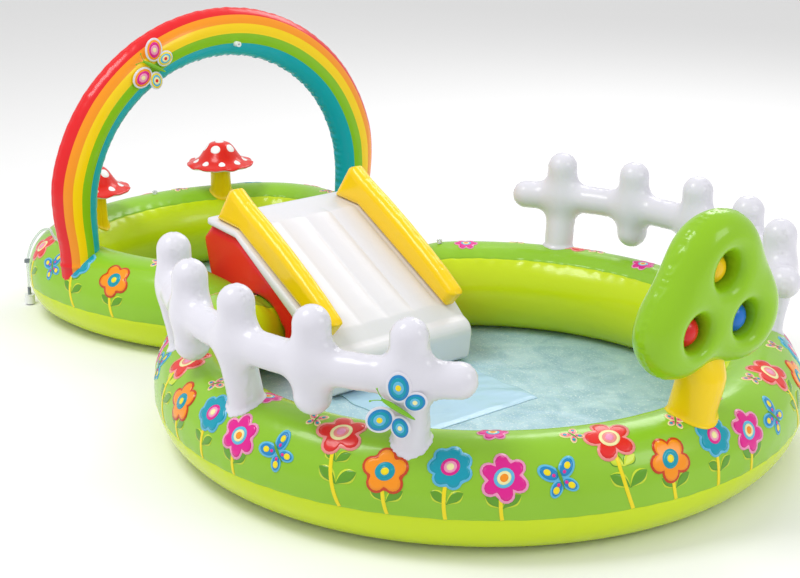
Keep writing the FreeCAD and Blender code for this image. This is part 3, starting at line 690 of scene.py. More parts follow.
def stalk(sheet, x, y, size, lean, outline_leaves):
    """Stem from the seam to the flower, with a pair or two of leaves."""
    foot = (x - lean, 0.002)
    sheet.ribbon(foot, (x, y), 0.06, even(0.0045), "yellow", 2)
    for pair in range(2 if y > 0.15 else 1):
        share = 0.30 + 0.28 * pair
        joint = np.array(foot) + share * (np.array((x, y)) - foot)
        reach = size * (0.85 - 0.25 * pair)
        fat = size * (0.26 - 0.06 * pair)
        for side in (-1, 1):
            tip = joint + np.array([side * reach * 0.80, reach * 0.62])
            outlined = outline_leaves or (pair + side) % 2
            shares = ((1.0, "leaf"), (0.72, "moss")) if outlined else ((1.1, "moss"), (0.9, "leaf"))
            for layer, (share_of_fat, ink) in enumerate(shares):
                width = leaf_width(fat * share_of_fat)
                sheet.ribbon(joint, tip, side * 0.05, width, ink, layer)


def printed_butterfly(sheet, x, y, size, turn, outer, wing, spot):
    """Four oval wings with spots round a thin body."""
    for angle, reach, long, wide in ((0.75, 0.55, 0.52, 0.33), (2.39, 0.55, 0.52, 0.33),
                                     (-0.85, 0.45, 0.40, 0.25), (3.99, 0.45, 0.40, 0.25)):
        a = angle + turn
        for out, fat, thin, ink, layer, around, rings in (
                (1.0, long, wide, outer, 3, 28, 4),
                (1.0, long * 0.80, wide * 0.76, wing, 4, 28, 4),
                (1.15, 0.16, 0.13, spot, 5, 20, 2),
                (0.6, 0.08, 0.07, "magenta", 5, 16, 1)):
            away = size * reach * out
            middle = (x + away * math.cos(a), y + away * math.sin(a))
            sheet.shape(middle, oval(size * fat, size * thin, a), ink, layer, around, rings)
    head = np.array([math.cos(turn + math.pi / 2), math.sin(turn + math.pi / 2)])
    sheet.ribbon(np.array([x, y]) - head * size * 0.45, np.array([x, y]) + head * size * 0.5,
                 0.0, leaf_width(size * 0.06), "moss", 6)


# One repeat of the print: what, share of the repeat, height up the skin, size, lean
REPEAT = (("pink", 0.00, 0.108, 0.062, 0.004), ("blue_butterfly", 0.19, 0.100, 0.058, 0.5),
          ("red", 0.40, 0.192, 0.068, -0.030), ("small_butterfly", 0.27, 0.215, 0.032, 0.3),
          ("orange", 0.60, 0.108, 0.060, -0.010), ("teal", 0.82, 0.132, 0.056, 0.008),
          ("small_butterfly", 0.70, 0.200, 0.032, -0.4), ("red_top", 0.97, 0.250, 0.040, 0))
SMALL_REPEAT = (("teal", 0.00, 0.160, 0.062, -0.020), ("orange", 0.27, 0.125, 0.060, -0.008),
                ("small_butterfly", 0.45, 0.225, 0.034, 0.3),
                ("red", 0.64, 0.150, 0.060, -0.020), ("blue_butterfly", 0.83, 0.110, 0.056, 0.4))
PRINT_ANGLE = -82.0              # plan angle of the first pink flower
REPEATS, SMALL_REPEATS = 8, 5


def ink_piece(name, ring, repeat, places):
    """All the ink on one ring, each motif laid on the tube at its own place."""
    parts = []
    for order, start, span in places:
        for entry in repeat:
            s0 = start + span * entry[1]
            if not 0 < s0 < ring.length:
                continue
            sheet = Print()
            motif(sheet, entry, order)
            flat, *faces = sheet.arrays()
            section = ring.angle_at(flat[:, 1])
            radius = ring.plan(np.array([s0]))[2]
            middle = ring.angle_at(np.array([entry[2]]))
            scale = radius[0] / (radius[0] + HALF_WIDTH * math.sin(middle[0]))
            along = np.clip(s0 + flat[:, 0] * scale, 0, ring.length)
            points = ring.points(along, section, flat[:, 2])
            parts.append((points, *faces))
    points, quads, fans, inks, fan_inks = joined(parts)
    piece = mesh_object(name, points, [quads[:, ::-1], fans[:, ::-1]], ink_films,
                        np.concatenate([inks, fan_inks]))
    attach(piece, "pool")


def motif(sheet, entry, order):
    """One flower with its stalk, or one butterfly, at its height above the seam."""
    what, share, height, size, lean = entry
    wobble = 0.25 * math.sin(7 * share + 3 * order)
    if what == "blue_butterfly":
        printed_butterfly(sheet, 0, height, size, lean + wobble, "sky", "blue", "yellow")
    elif what == "small_butterfly":
        printed_butterfly(sheet, 0, height, size, lean - wobble, "cream", "rose", "teal")
    elif what == "red_top":
        flower(sheet, "pink", 0, height, size, wobble)
    else:
        stalk(sheet, 0, height, size, lean, order % 2 == 0)
        flower(sheet, what, 0, height, size, 0.6 + wobble)


def print_rings():
    """The repeats of the print round each ring: order, running length at its start, span."""
    span = large_ring.length / REPEATS
    first = (math.radians(PRINT_ANGLE) + math.pi) * LARGE_R
    places = [(k, (first + k * span) % large_ring.length, span) for k in range(REPEATS)]
    ink_piece("large_ring_print", large_ring, REPEAT, places)
    span = small_ring.length / SMALL_REPEATS
    places = [(k, 0.04 + (k - 0.19) * span, span) for k in range(SMALL_REPEATS)]
    ink_piece("small_ring_print", small_ring, SMALL_REPEAT, places)


# ------------------------------------------------------------------ the arch
def arch_piece():
    """An elliptical tube along two legs and a half circle, pinched at both welds.

    Towards the feet it leans in and its depth draws in, and it flares where it meets
    the ring.
    """
    leg = SPRING_Z - LEG_LOW + 0.03
    turn = math.pi * ARCH_R
    s = np.linspace(0, 2 * leg + turn, 620)
    angle = np.clip((s - leg) / ARCH_R, 0, math.pi)
    drop = np.where(s < leg, s - leg, np.where(s > leg + turn, leg + turn - s, 0))
    out = np.stack([np.zeros_like(angle), np.cos(angle), np.sin(angle)], -1)
    centre = np.array([ARCH_X, 0, SPRING_Z]) + ARCH_R * out
    centre[:, 2] += drop
    draw = eased((0.54 - centre[:, 2]) / 0.28)
    lean = 0.010 * np.clip((0.75 - centre[:, 2]) / 0.30, 0, 1) + 0.020 * draw
    centre[:, 1] -= np.sign(centre[:, 1]) * lean
    even_angles = full_turn(112)
    section = even_angles - 0.38 * np.sin(2 * even_angles)
    grid_s, grid_t = pairs(s, section)
    off_outer = np.abs(np.mod(grid_t + math.pi, 2 * math.pi) - math.pi) * 0.06
    off_inner = np.abs(grid_t - math.pi) * 0.06
    relief = (weld_relief(off_outer, grid_s, 1.0, 0.034)
              + weld_relief(off_inner, grid_s, 2.0, 0.027))
    weld_z = HALF_HEIGHT * 1.72
    flare = 0.005 * np.exp(-np.abs(centre[:, 2] - weld_z) / 0.006)[:, None]
    depth = (ARCH_HALF_DEPTH - 0.014 * draw[:, None] + flare + relief) * np.cos(grid_t)
    thick = (ARCH_HALF_THICK + flare + relief) * np.sin(grid_t)
    rows = centre[:, None] + depth[..., None] * out[:, None]
    rows[..., 0] += thick
    points, faces = loft(rows)
    half = np.linspace(0, math.pi, 400)
    runs = np.hypot(ARCH_HALF_DEPTH * np.sin(half), ARCH_HALF_THICK * np.cos(half))
    table = np.cumsum(runs) / runs.sum()
    band = np.interp(np.abs(np.mod(section + math.pi, 2 * math.pi) - math.pi), half, table)
    bands = np.concatenate([np.tile(band, len(s)), [0.5, 0.5]])
    piece = mesh_object("rainbow_arch_film", points, faces, [rainbow], bands=bands)
    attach(piece, "pool")
    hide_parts("rainbow_arch")


# ------------------------------------------------------------------ air chambers
NO_SEAM = 9.0                    # a seam plane too far away to mark anything


def chamber(name, distance, low, high, step, films, seam, body, replaced,
            to_place=None, paint=None, puckers=1.0, seam_at=0.0, extra=None, lean=0.0):
    """A puffed chamber: its surface net, with weld relief round the seam plane.

    Seam is the axis across the seam plane, which stands at seam_at and leans with
    height.  Extra gives more relief, paint the slots of faces, and to_place the way
    from the net's own coordinates to the frame's.
    """
    points, faces = surface_net(distance, low, high, step)
    normal = unit(gradient(distance, points))
    first, second = [k for k in range(3) if k != seam]
    along = points[:, first] * np.abs(normal[:, second]) + points[:, second] * np.abs(
        normal[:, first])
    off = np.abs(points[:, seam] - seam_at - lean * np.clip(points[:, 2] - low[2], 0, 1))
    points = points + normal * weld_relief(off, along, puckers)[:, None]
    if extra:
        points = points + normal * extra(points, normal)[:, None]
    slots = paint(points[faces].mean(1)) if paint else None
    if to_place:
        points = to_place(points)
    if enclosed(points, [faces]) < 0:
        faces = faces[:, ::-1]
    piece = mesh_object(name, points, [faces], films, slots)
    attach(piece, body)
    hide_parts(replaced)
    return piece


def fence_distance(p):
    """Rail and pickets as round bars joined by fillets, in unrolled coordinates.

    The first coordinate runs round the ring, the second out from the rail.
    """
    s, y, z = p[..., 0], p[..., 1], p[..., 2]
    leg_y = y + LEG_LEAN * eased((FENCE_Z - 0.03 - z) / 0.15)
    on_ring = np.clip(1 - ((y + FENCE_R - LARGE_R) / HALF_WIDTH) ** 2, 0, 1)
    over_ring = z - HALF_HEIGHT * (1 + np.sqrt(on_ring))
    flange = 0.008 * np.exp(-(over_ring / 0.006) ** 2)
    past = s - np.clip(s, RAIL_FIRST, RAIL_LAST)
    result = np.sqrt(past ** 2 + y ** 2 + (z - FENCE_Z) ** 2) - RAIL_R
    top = PICKET_TOP - PICKET_R
    for number, angle in enumerate(PICKETS):
        off = s - math.radians(angle) * FENCE_R
        if number % 2:
            past = z - np.clip(z, PICKET_HANG + PICKET_R, top)
            picket = np.sqrt(off ** 2 + y ** 2 + past ** 2) - PICKET_R
        else:
            past = z - np.clip(z, LEG_LOW, top)
            picket = np.sqrt(off ** 2 + leg_y ** 2 + past ** 2) - PICKET_R - flange
        result = smooth_min(result, picket, 0.045)
    return np.maximum(result, LEG_LOW - 0.02 - z)


def fences():
    """The same fence on both sides, rolled up round the large ring."""
    low = (RAIL_FIRST - RAIL_R, -0.07, LEG_LOW - 0.03)
    high = (RAIL_LAST + RAIL_R, 0.07, PICKET_TOP)
    for name, side in (("front_fence", -1), ("back_fence", 1)):
        def roll_up(p, side=side):
            angle = p[:, 0] / FENCE_R
            radius = FENCE_R + p[:, 1]
            return np.stack([LARGE_X + radius * np.cos(angle),
                             side * radius * np.sin(angle), p[:, 2]], -1)
        chamber(name + "_film", fence_distance, low, high, 0.006, [white_film], 1, "pool",
                name, to_place=roll_up, puckers=1.3)


def crown_distance(p):
    """Three discs run together, puffed between their outline, with three soft holes.

    Half thickness follows a circle in the distance in from the outline.  The crown
    leans outwards with height.
    """
    x, y, z = p[..., 0] - TREE_X, p[..., 1], p[..., 2]
    x = x - CROWN_LEAN * np.clip(z - crown_low.z, 0, 1)
    outline = None
    for lobe_y, lobe_z, radius in LOBES:
        disc = np.hypot(y - lobe_y, z - lobe_z) - radius
        outline = disc if outline is None else smooth_min(outline, disc, 0.10)
    half = CROWN_HALF + 0.005
    puffed = np.sqrt(x ** 2 + np.maximum(half + outline, 0) ** 2) - half
    holes = None
    for hole_y, hole_z in HOLES:
        tunnel = np.hypot(y - hole_y, z - hole_z) - HOLE_R
        holes = tunnel if holes is None else np.minimum(holes, tunnel)
    return -smooth_min(-puffed, holes, 0.045)


def tree():
    """The crown, and the trunk that goes up into it."""
    low = (TREE_X - CROWN_HALF - 0.01, crown_low.y - 0.01, crown_low.z - 0.01)
    high = (TREE_X + CROWN_HALF + 0.035, crown_high.y + 0.01, crown_high.z + 0.01)
    chamber("tree_crown_film", crown_distance, low, high, 0.006, [tree_green], 0, "pool",
            "tree_crown", puckers=1.4, seam_at=TREE_X, lean=CROWN_LEAN)
    column("tree_trunk_film", TREE_X, 0.0, LEG_LOW - 0.01, crown_low.z + 0.054,
           TRUNK_R, TRUNK_R * 0.97, trunk_yellow, "tree_trunk", crown_low.z - 0.025,
           TRUNK_LEAN)


END_ARC_HALF = 0.39              # nearer the middle than this, the end arc is the ring


def ring_offset(x, y):
    """Distance from the nearer ring's centre line, in plan, beside the posts."""
    large = np.hypot(x - LARGE_X, y) - LARGE_R
    end_x, _, end_r = small_ring.arcs[2][:3]
    small = np.hypot(x - end_x, y) - end_r
    corner = np.hypot(x - WIDE_X, np.abs(y) - WIDE_Y + CORNER_R) - CORNER_R
    small = np.where(np.abs(y) < END_ARC_HALF, small, corner)
    return np.where(np.abs(large) < np.abs(small), large, small)


def column(name, x, y, low, high, foot_r, top_r, film, replaced, tuck=None, lean=0.0):
    """A round post, slightly tapered, with a flared weld flange on the ring.

    Above the height tuck it flattens along X, to go up into what it carries.  Its foot
    draws in towards the ring's crest by lean.
    """
    share = np.linspace(0, 1, 130)
    z = low + (high - low) * share
    radius = foot_r + (top_r - foot_r) * share
    angle = full_turn(96)
    side_weld = np.exp(-(np.sin(angle / 2) / 0.03) ** 2)
    radius = radius[:, None] - 0.001 * side_weld[None, :]
    x = (x - lean * eased((RING_TOP + 0.11 - z) / 0.14))[:, None]
    spot_x, spot_y = x + radius * np.cos(angle), y + radius * np.sin(angle)
    away = np.abs(ring_offset(spot_x, spot_y))
    top = HALF_HEIGHT * (1 + np.sqrt(np.clip(1 - (away / HALF_WIDTH) ** 2, 0, 1)))
    radius = radius + 0.006 * np.exp(-np.abs(z[:, None] - top) / 0.005)
    rise = np.zeros_like(z) if tuck is None else np.clip((z - tuck) / (high - tuck), 0, 1)
    narrow = 1 - 0.58 * rise[:, None] ** 1.3
    rows = np.stack([x + radius * narrow * np.cos(angle), y + radius * np.sin(angle),
                     np.broadcast_to(z[:, None], radius.shape)], -1)
    points, faces = loft(rows)
    piece = mesh_object(name, points, faces, [film])
    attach(piece, "pool")
    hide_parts(replaced)


# ------------------------------------------------------------------ mushrooms
CAP_RISE, CAP_UNDER, BRIM_DROP = 0.082, 0.014, 0.084
CAP_ROWS, CAP_AROUND = 40, 108
STALK_FOOT_R, STALK_TOP_R = 0.041, 0.036
CAP_SHOWN = 0.92                 # of the cap's radius in the frame, as the brim curls in
SPOT_ROWS = ((0.0, 1, 0.13, 0.13), (0.40, 5, 0.085, 0.15), (0.74, 9, 0.085, 0.10))


def cap_height(share):
    """A bell over a wide brim: a steep bump plus a flat dome."""
    return CAP_RISE * (0.80 * np.exp(-(share / 0.55) ** 4)
                       + 0.20 * np.sqrt(np.clip(1 - share ** 2, 0, 1)))


def cap_point(x, y, brim_z, radius, share, angle, lift=0.0):
    """A point on the cap's upper side; the brim waves with the angle."""
    wave = waves((9 * angle, 0.4), (14 * angle + 1, 0.3)) * share ** 6
    reach = radius * share * (1 + 0.012 * wave)
    z = brim_z + cap_height(share) + 0.005 * wave + lift
    return np.stack([x + reach * np.cos(angle), y + reach * np.sin(angle), z], -1)


def mushroom(place):
    """A cap of an upper and an under side, its white spots, and its stalk."""
    low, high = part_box("mushroom_cap_" + place)
    x, y = (low.x + high.x) / 2, (low.y + high.y) / 2
    radius = (high.x - low.x) / 2 * CAP_SHOWN
    brim_z = high.z - BRIM_DROP
    s, a = pairs(np.sin(np.linspace(0.02, math.pi / 2, CAP_ROWS)), full_turn(CAP_AROUND))
    top = cap_point(x, y, brim_z, radius, s, a)
    back = s[::-1]
    under = cap_point(x, y, brim_z, radius, back, a)
    bowl = CAP_UNDER * np.sqrt(np.clip(1 - back ** 2, 0, 1))
    wave = under[..., 2] - brim_z - cap_height(back)
    under[..., 2] = brim_z + wave - bowl - 0.002
    points, (quads, fans) = loft(np.concatenate([top, under]))
    below = np.concatenate([np.min(quads // CAP_AROUND, 1) >= CAP_ROWS,
                            np.arange(len(fans)) >= CAP_AROUND])
    piece = mesh_object("mushroom_cap_%s_film" % place, points, [quads, fans],
                        [cap_red, cap_cream], below.astype(int))
    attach(piece, "pool")
    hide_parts("mushroom_cap_" + place)
    spots = []
    for row, number, radial, wide in SPOT_ROWS:
        for k in range(number):
            sheet = Print()
            sheet.shape((row, 0), oval(radial, wide), "white", 0, 28, 5)
            flat, quads, fans, _, _ = sheet.arrays()
            middle = (k + 0.3) * 2 * math.pi / number
            reach_x = math.cos(middle) * flat[:, 0] - math.sin(middle) * flat[:, 1]
            reach_y = math.sin(middle) * flat[:, 0] + math.cos(middle) * flat[:, 1]
            share = np.clip(np.hypot(reach_x, reach_y), 0, 1)
            points = cap_point(x, y, brim_z, radius, share, np.arctan2(reach_y, reach_x),
                               flat[:, 2] + 0.0004)
            spots.append((points, quads, fans))
    points, quads, fans = joined(spots)
    piece = mesh_object("mushroom_cap_%s_spots" % place, points, [quads, fans], [spot_white])
    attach(piece, "pool")
    column("mushroom_stalk_%s_film" % place, x, y, LEG_LOW, brim_z - 0.006, STALK_FOOT_R,
           STALK_TOP_R, stalk_yellow, "mushroom_stalk_" + place)


# ------------------------------------------------------------------ the slide
def polygon_distance(x, z, corners):
    """Signed distance to a closed outline: nearest edge, negative inside."""
    nearest = np.full(x.shape, 1e9)
    inside = np.zeros(x.shape, bool)
    for (ax, az), (bx, bz) in zip(corners, corners[1:] + corners[:1]):
        ex, ez = bx - ax, bz - az
        share = np.clip(((x - ax) * ex + (z - az) * ez) / (ex * ex + ez * ez), 0, 1)
        nearest = np.minimum(nearest, np.hypot(x - ax - share * ex, z - az - share * ez))
        crosses = (az > z) != (bz > z)
        run = np.where(crosses, (z - az) / (ez if abs(ez) > 1e-9 else 1e-9), 0)
        inside ^= crosses & (x < ax + run * ex)
    return np.where(inside, -nearest, nearest)


def slab_distance(corners, middle_y, half, edge):
    """An outline given a width across, its edges rounded to a radius."""
    def distance(p):
        flat = polygon_distance(p[..., 0], p[..., 2], corners) + edge
        side = np.abs(p[..., 1] - middle_y) - half + edge
        outer = np.hypot(np.maximum(flat, 0), np.maximum(side, 0))
        return outer + np.minimum(np.maximum(flat, side), 0) - edge
    return distance


def moved(point, ahead, up):
    """A point of the outline shifted along X and up."""
    return (point[0] + ahead, point[1] + up)


TUBE_PITCH = 0.1035


def deck_relief(points, normal):
    """Four lengthwise air tubes: arcs across the deck that fade towards both ends."""
    x, y = points[:, 0], points[:, 1]
    across = np.abs(np.mod(y / TUBE_PITCH, 1.0) * 2 - 1)
    tube = 0.011 * np.sqrt(np.clip(1 - across ** 2, 0, 1)) - 0.004
    inside = np.clip((0.215 - np.abs(y)) / 0.01, 0, 1)
    ends = np.clip((x - KNEE[0] + 0.08) / 0.10, 0, 1) * np.clip((LIP[0] - 0.05 - x) / 0.09, 0, 1)
    upward = np.clip(normal[:, 2] * 1.5 - 0.5, 0, 1)
    return tube * inside * ends * upward


NOSE_R = 0.045


def slide_deck():
    """The white sloping deck, its soft nose turned down to the mat."""
    nose_middle = moved(LIP, -NOSE_R, -NOSE_R)
    nose = [moved(nose_middle, NOSE_R * math.sin(a), NOSE_R * math.cos(a))
            for a in np.linspace(0, math.pi / 2, 7)[1:]]
    front = [(LIP[0] - 0.012, MAT_TOP + 0.012), (LIP[0] - 0.024, MAT_TOP + 0.001),
             (LIP[0] - 0.075, MAT_TOP + 0.001)]
    under = [moved(LIP, -0.075, -0.020), moved(KNEE, 0, -DECK_SHOWN), moved(REAR, 0, -DECK_SHOWN)]
    outline = [REAR, KNEE, moved(LIP, -0.085, 0.040), moved(LIP, -0.045, 0.004)]
    outline += nose + front + under
    low = (REAR[0], -DECK_HALF, MAT_TOP)
    high = (LIP[0], DECK_HALF, REAR[1] + 0.015)
    piece = chamber("slide_deck_film", slab_distance(outline, 0.0, DECK_HALF, 0.0115), low,
                    high, 0.0055, [deck_white], 1, "slide", "slide_deck",
                    puckers=0.0, seam_at=NO_SEAM, extra=deck_relief)


def slide_base():
    """The red block under the deck, hollowed where it sits on the divider."""
    rear, knee = moved(REAR, 0, -DECK_SHOWN), moved(KNEE, 0, -DECK_SHOWN)
    lip = moved(LIP, -0.030, 0.006 - DECK_SHOWN)
    foot_x = DIVIDER_X + HALF_WIDTH + 0.055
    shelf_z = HALF_HEIGHT + 0.005
    outline = [rear, knee, lip, (lip[0], MAT_TOP), (foot_x, MAT_TOP), (foot_x, shelf_z),
               (rear[0], shelf_z), moved(rear, -0.055, -0.055)]
    block = slab_distance(outline, 0.0, base_high.y, 0.026)

    def base_distance(p):
        plan = np.hypot(p[..., 0] - LARGE_X, p[..., 1]) - LARGE_R
        half = HALF_HEIGHT * sagged(p[..., 0], p[..., 1])
        ring = (np.hypot(plan / HALF_WIDTH, (p[..., 2] - half) / half) - 1) * HALF_WIDTH
        under = np.maximum(np.abs(plan) - HALF_WIDTH, p[..., 2] - half)
        room = np.minimum(ring, under) - 0.003
        return -smooth_min(-block(p), room, 0.015)

    def front_is_white(middles):
        return (middles[:, 0] > LIP[0] - 0.03).astype(int)

    chamber("slide_base_film", base_distance, (base_low.x, -0.262, base_low.z),
            (base_high.x, 0.262, base_high.z), 0.009, [slide_red, deck_white], 1, "slide",
            "slide_base", paint=front_is_white, puckers=0.0, seam_at=NO_SEAM)


def deck_top(x):
    """Height of the deck's upper side, straight between its corners."""
    a, b = (REAR, KNEE) if x < KNEE[0] else (KNEE, LIP)
    return a[1] + (b[1] - a[1]) * (x - a[0]) / (b[0] - a[0])


def slide_bolsters():
    """The yellow side rails; a rail's upper edge bows up between its apex and its tip."""
    apex = moved(KNEE, -0.041, 0.127)
    tip = moved(LIP, -0.024, 0.096)
    back_x, front_x = REAR[0] + 0.030, LIP[0] - 0.070
    brow = [(apex[0] + share * (tip[0] - apex[0]),
             apex[1] + share * (tip[1] - apex[1]) + 0.016 * math.sin(math.pi * share))
            for share in (0.85, 0.7, 0.5, 0.3, 0.12)]
    rail = [(back_x, deck_top(back_x)), KNEE, (front_x, deck_top(front_x)),
            moved(tip, 0, -0.012), moved(tip, -0.012, 0.004)] + brow
    rail += [moved(apex, 0.014, 0.002), moved(apex, -0.012, -0.006)]
    for name in ("near", "far"):
        box_low, box_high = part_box("slide_bolster_" + name)
        middle = (box_low.y + box_high.y) / 2
        low = (back_x - 0.01, middle - 0.04, 0.13)
        high = (tip[0] + 0.01, middle + 0.04, apex[1] + 0.01)
        piece = chamber("slide_bolster_%s_film" % name,
                        slab_distance(rail, middle, 0.029, 0.024), low, high, 0.005,
                        [rail_yellow], 1, "slide", "slide_bolster_" + name,
                        seam_at=middle, puckers=0.5)


def landing_mat():
    """A thin air mat: loops across it whose upper side waves like a rippled sheet."""
    low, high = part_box("landing_mat")
    x = np.linspace(low.x + 0.002, high.x - 0.002, 150)
    around = full_turn(160)
    side = np.sign(np.cos(around)) * np.abs(np.cos(around)) ** 0.35
    upper = np.sin(around)
    half = (high.y - low.y) / 2
    gx, gy = pairs(x, side)
    edge = 1 + 0.03 * waves((gx * 31, 0.5), (gx * 57 + 1, 0.4)) - 0.03
    y = gy * half * edge
    ripple = waves((gx * 40 + 3 * np.sin(y * 14), 0.5), (y * 34 + 2 * np.sin(gx * 19), 0.5),
                   (gx * 83 - y * 61, 0.25))
    thick = high.z - low.z
    fade = np.clip((high.x - 0.004 - gx) / 0.02, 0.15, 1) * np.clip((gx - low.x) / 0.01, 0.15, 1)
    lift = np.where(upper > 0, thick * (0.65 + 0.28 * ripple) * np.abs(upper) ** 0.3, 0) * fade
    rows = np.stack([gx, y, low.z + 0.0004 + np.clip(lift, 0, thick * 1.2)], -1)
    points, faces = loft(rows)
    piece = mesh_object("landing_mat_film", points, faces, [mat_blue])
    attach(piece, "slide")
    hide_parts("landing_mat")


# ------------------------------------------------------------------ CAD pieces that stay
def paint_frame_pieces():
    """Materials for the pieces that are shown as they come."""
    films = {"large_basin_floor": floor_blue, "small_basin_floor": floor_blue,
             "sprayer_nozzle": white_plastic, "sprayer_tube": clear_tube,
             "tube_clip": grey_plastic, "hose_coupling": white_plastic,
             "hose_tail": grey_plastic, "valve_stems": valve_clear,
             "slide_valve_stem": valve_clear, "drain_socket": valve_clear,
             "drain_plug": white_plastic}
    for name in nodes:
        if name.startswith("valve_cap_"):
            films[name] = valve_clear
        if name.startswith("ball_"):
            films[name] = ball_mats[name[5:]]
    for name, film in films.items():
        mesh = nodes[name].data
        mesh.materials.clear()
        mesh.materials.append(film)


# ------------------------------------------------------------------ butterflies
FENCE_FACING = math.radians(-53)
BODY_LEAN = math.radians(62)
FACE_GAP = 0.003                 # from the face a butterfly sits on to its wings' middle


def butterfly_frame(place):
    """Origin on the face it sits on, then right, ahead and facing directions."""
    low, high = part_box("butterfly_body_" + place)
    middle = np.array((low + high) / 2)
    angle = 0.0 if place == "arch" else FENCE_FACING
    facing = np.array([math.cos(angle), math.sin(angle), 0])
    up = np.array([0, 0, 1.0])
    across = np.cross(up, facing)
    right = math.cos(BODY_LEAN) * across + math.sin(BODY_LEAN) * up
    ahead = -math.sin(BODY_LEAN) * across + math.cos(BODY_LEAN) * up
    return middle, right, ahead, facing


# Out from the body, along it, long and wide half sizes, swing
WING_LOBES = ((0.049, 0.022, 0.039, 0.032, 0.45), (0.039, -0.029, 0.030, 0.025, -0.7))
WING_THICK = 0.0045
# Share of the lobe's long and wide half sizes, points around, rings
WING_INKS = ((0.84, 0.80, 36, 5), (0.66, 0.60, 36, 4), (0.42, 0.42, 28, 4), (0.20, 0.22, 20, 3))


def wing_piece(place, wing, colors):
    """Two puffed ovals, each a flattened ball, with inked ovals on the side shown."""
    origin, right, ahead, facing = butterfly_frame(place)

    def placed(x, y, front):
        return (origin + x[..., None] * right + y[..., None] * ahead
                + front[..., None] * facing)

    side = -1 if wing == "upper" else 1
    p, a = pairs(np.linspace(0.04, math.pi - 0.04, 22), full_turn(48))
    parts = []
    white = len(ink_films)
    for (out, along, long, wide, swing), tint in zip(WING_LOBES, colors):
        angle = swing * side
        c, d = math.cos(angle), math.sin(angle)
        x = long * np.sin(p) * np.cos(a)
        y = wide * np.sin(p) * np.sin(a)
        rows = placed(side * out + c * x - d * y, along + d * x + c * y,
                      FACE_GAP + WING_THICK * np.cos(p))
        spots, (quads, fans) = loft(rows)
        parts.append((spots, quads, fans, np.full(len(quads), white),
                      np.full(len(fans), white)))
        sheet = Print()
        middle = (side * out, along)
        for layer, (ink, (longer, wider, around, rings)) in enumerate(zip(tint, WING_INKS)):
            sheet.shape(middle, oval(long * longer, wide * wider, angle), ink, layer, around,
                        rings)
        flat, quads, fans, inks, fan_inks = sheet.arrays()
        away = flat[:, :2] - middle
        on_long = (away[:, 0] * c + away[:, 1] * d) / long
        on_wide = (away[:, 1] * c - away[:, 0] * d) / wide
        dome = np.sqrt(np.clip(1 - on_long ** 2 - on_wide ** 2, 0, 1))
        spots = placed(flat[:, 0], flat[:, 1], FACE_GAP + WING_THICK * dome + flat[:, 2])
        b, e, g = (spots[quads[0, k]] for k in range(3))
        if np.dot(np.cross(e - b, g - b), facing) < 0:
            quads, fans = quads[:, ::-1], fans[:, ::-1]
        parts.append((spots, quads, fans, inks, fan_inks))
    points, quads, fans, slots, fan_slots = joined(parts)
    name = "butterfly_%s_wing_%s" % (wing, place)
    piece = mesh_object(name + "_film", points, [quads, fans], ink_films + [white_film],
                        np.concatenate([slots, fan_slots]))
    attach(piece, name)
    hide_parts(name)


def feelers(place):
    """A tapered body along its line, and two thin bowed feelers with knobs."""
    origin, right, ahead, facing = butterfly_frame(place)
    parts = []
    share = np.linspace(0, 1, 40)
    turn = full_turn(20)
    body_r = 0.0072 * np.sqrt(np.clip(1 - (2 * share - 1) ** 2, 0, 1)) * (0.75 + 0.35 * share)
    lines = [(np.stack([0 * share, -0.050 + 0.095 * share, 0.005 + 0 * share], -1), body_r)]
    for side in (-1, 1):
        curve = np.stack([side * (0.003 + 0.017 * share ** 1.6), 0.040 + 0.026 * share,
                          0.005 + 0.003 * share], -1)
        radius = 0.0011 + 0.0016 * np.exp(-((share - 0.95) / 0.06) ** 2)
        lines.append((curve, radius))
    for line, radius in lines:
        forward = unit(np.gradient(line, axis=0))
        beside = unit(np.cross(forward, [0, 0, 1.0]))
        over = np.cross(beside, forward)
        radius = np.maximum(radius, 0.0006)
        rows = (line[:, None] + radius[:, None, None]
                * (np.cos(turn)[None, :, None] * beside[:, None]
                   + np.sin(turn)[None, :, None] * over[:, None]))
        rows = origin + rows[..., :1] * right + rows[..., 1:2] * ahead + rows[..., 2:] * facing
        spots, (quads, fans) = loft(rows)
        parts.append((spots, quads, fans))
    points, quads, fans = joined(parts)
    piece = mesh_object("butterfly_body_%s_film" % place, points, [quads, fans],
                        [ink_films[ink_names.index("grass")]])
    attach(piece, "pool")
    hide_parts("butterfly_body_" + place)


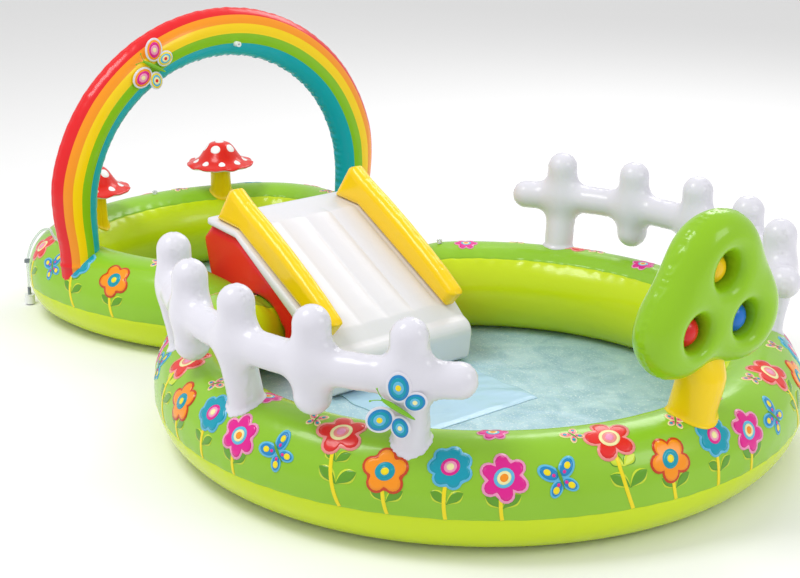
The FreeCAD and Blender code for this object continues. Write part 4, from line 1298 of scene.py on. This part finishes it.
def butterflies():
    """Both butterflies: each wing's two lobes are inked from the edge inwards."""
    warm = (("orange", "magenta", "pink", "cream"), ("yellow", "sky", "cream", "red"))
    cool = (("blue", "teal", "sky", "yellow"), ("blue", "teal", "sky", "cream"))
    for place, colors in (("arch", warm), ("fence", cool)):
        for wing in ("upper", "lower"):
            wing_piece(place, wing, colors)
        feelers(place)


# ------------------------------------------------------------------ stage, light, camera
def stage():
    """A wide pale floor, an even sky and three area lights."""
    size = 60.0
    corners = np.array([(-size, -size, -0.0005), (size, -size, -0.0005),
                        (size, size, -0.0005), (-size, size, -0.0005)])
    pale = film_material("stage_pale", (0.93, 0.93, 0.93), cloud=0.02, rough=0.8, coat=0.0,
                         crease=0.0)
    mesh_object("stage_floor", corners, [np.array([[0, 1, 2, 3]])], [pale])
    world = bpy.data.worlds.new("studio")
    bpy.context.scene.world = world
    world.use_nodes = True
    world.node_tree.nodes["Background"].inputs["Color"].default_value = (1, 1, 1, 1)
    world.node_tree.nodes["Background"].inputs["Strength"].default_value = 0.74
    for name, place, power, width in (("key", (-0.6, -2.4, 4.6), 105, 1.9),
                                      ("rim", (-1.6, 3.6, 3.6), 60, 2.2),
                                      ("fill", (4.4, 1.4, 2.8), 34, 1.6)):
        light = bpy.data.lights.new(name, "AREA")
        light.energy = power
        light.size = width
        lamp = bpy.data.objects.new(name, light)
        lamp.location = place
        aim = Vector((0, 0, 0.2)) - Vector(place)
        lamp.rotation_euler = aim.to_track_quat("-Z", "Y").to_euler()
        bpy.context.scene.collection.objects.link(lamp)


def camera():
    """The one camera: its place, its lens and the point it looks at."""
    lens = bpy.data.cameras.new("view")
    lens.lens = 72.75
    lens.sensor_width = 36.0
    eye = bpy.data.objects.new("view", lens)
    eye.location = (3.836, -2.920, 1.864)
    aim = Vector((0.0811, 0.0647, 0.2645)) - eye.location
    eye.rotation_euler = aim.to_track_quat("-Z", "Y").to_euler()
    bpy.context.scene.collection.objects.link(eye)
    bpy.context.scene.camera = eye


camera()
stage()
ring_skins()
print_rings()
arch_piece()
fences()
tree()
mushroom("far")
mushroom("near")
slide_deck()
slide_base()
slide_bolsters()
landing_mat()
paint_frame_pieces()
butterflies()
bpy.context.scene.view_settings.view_transform = "Standard"
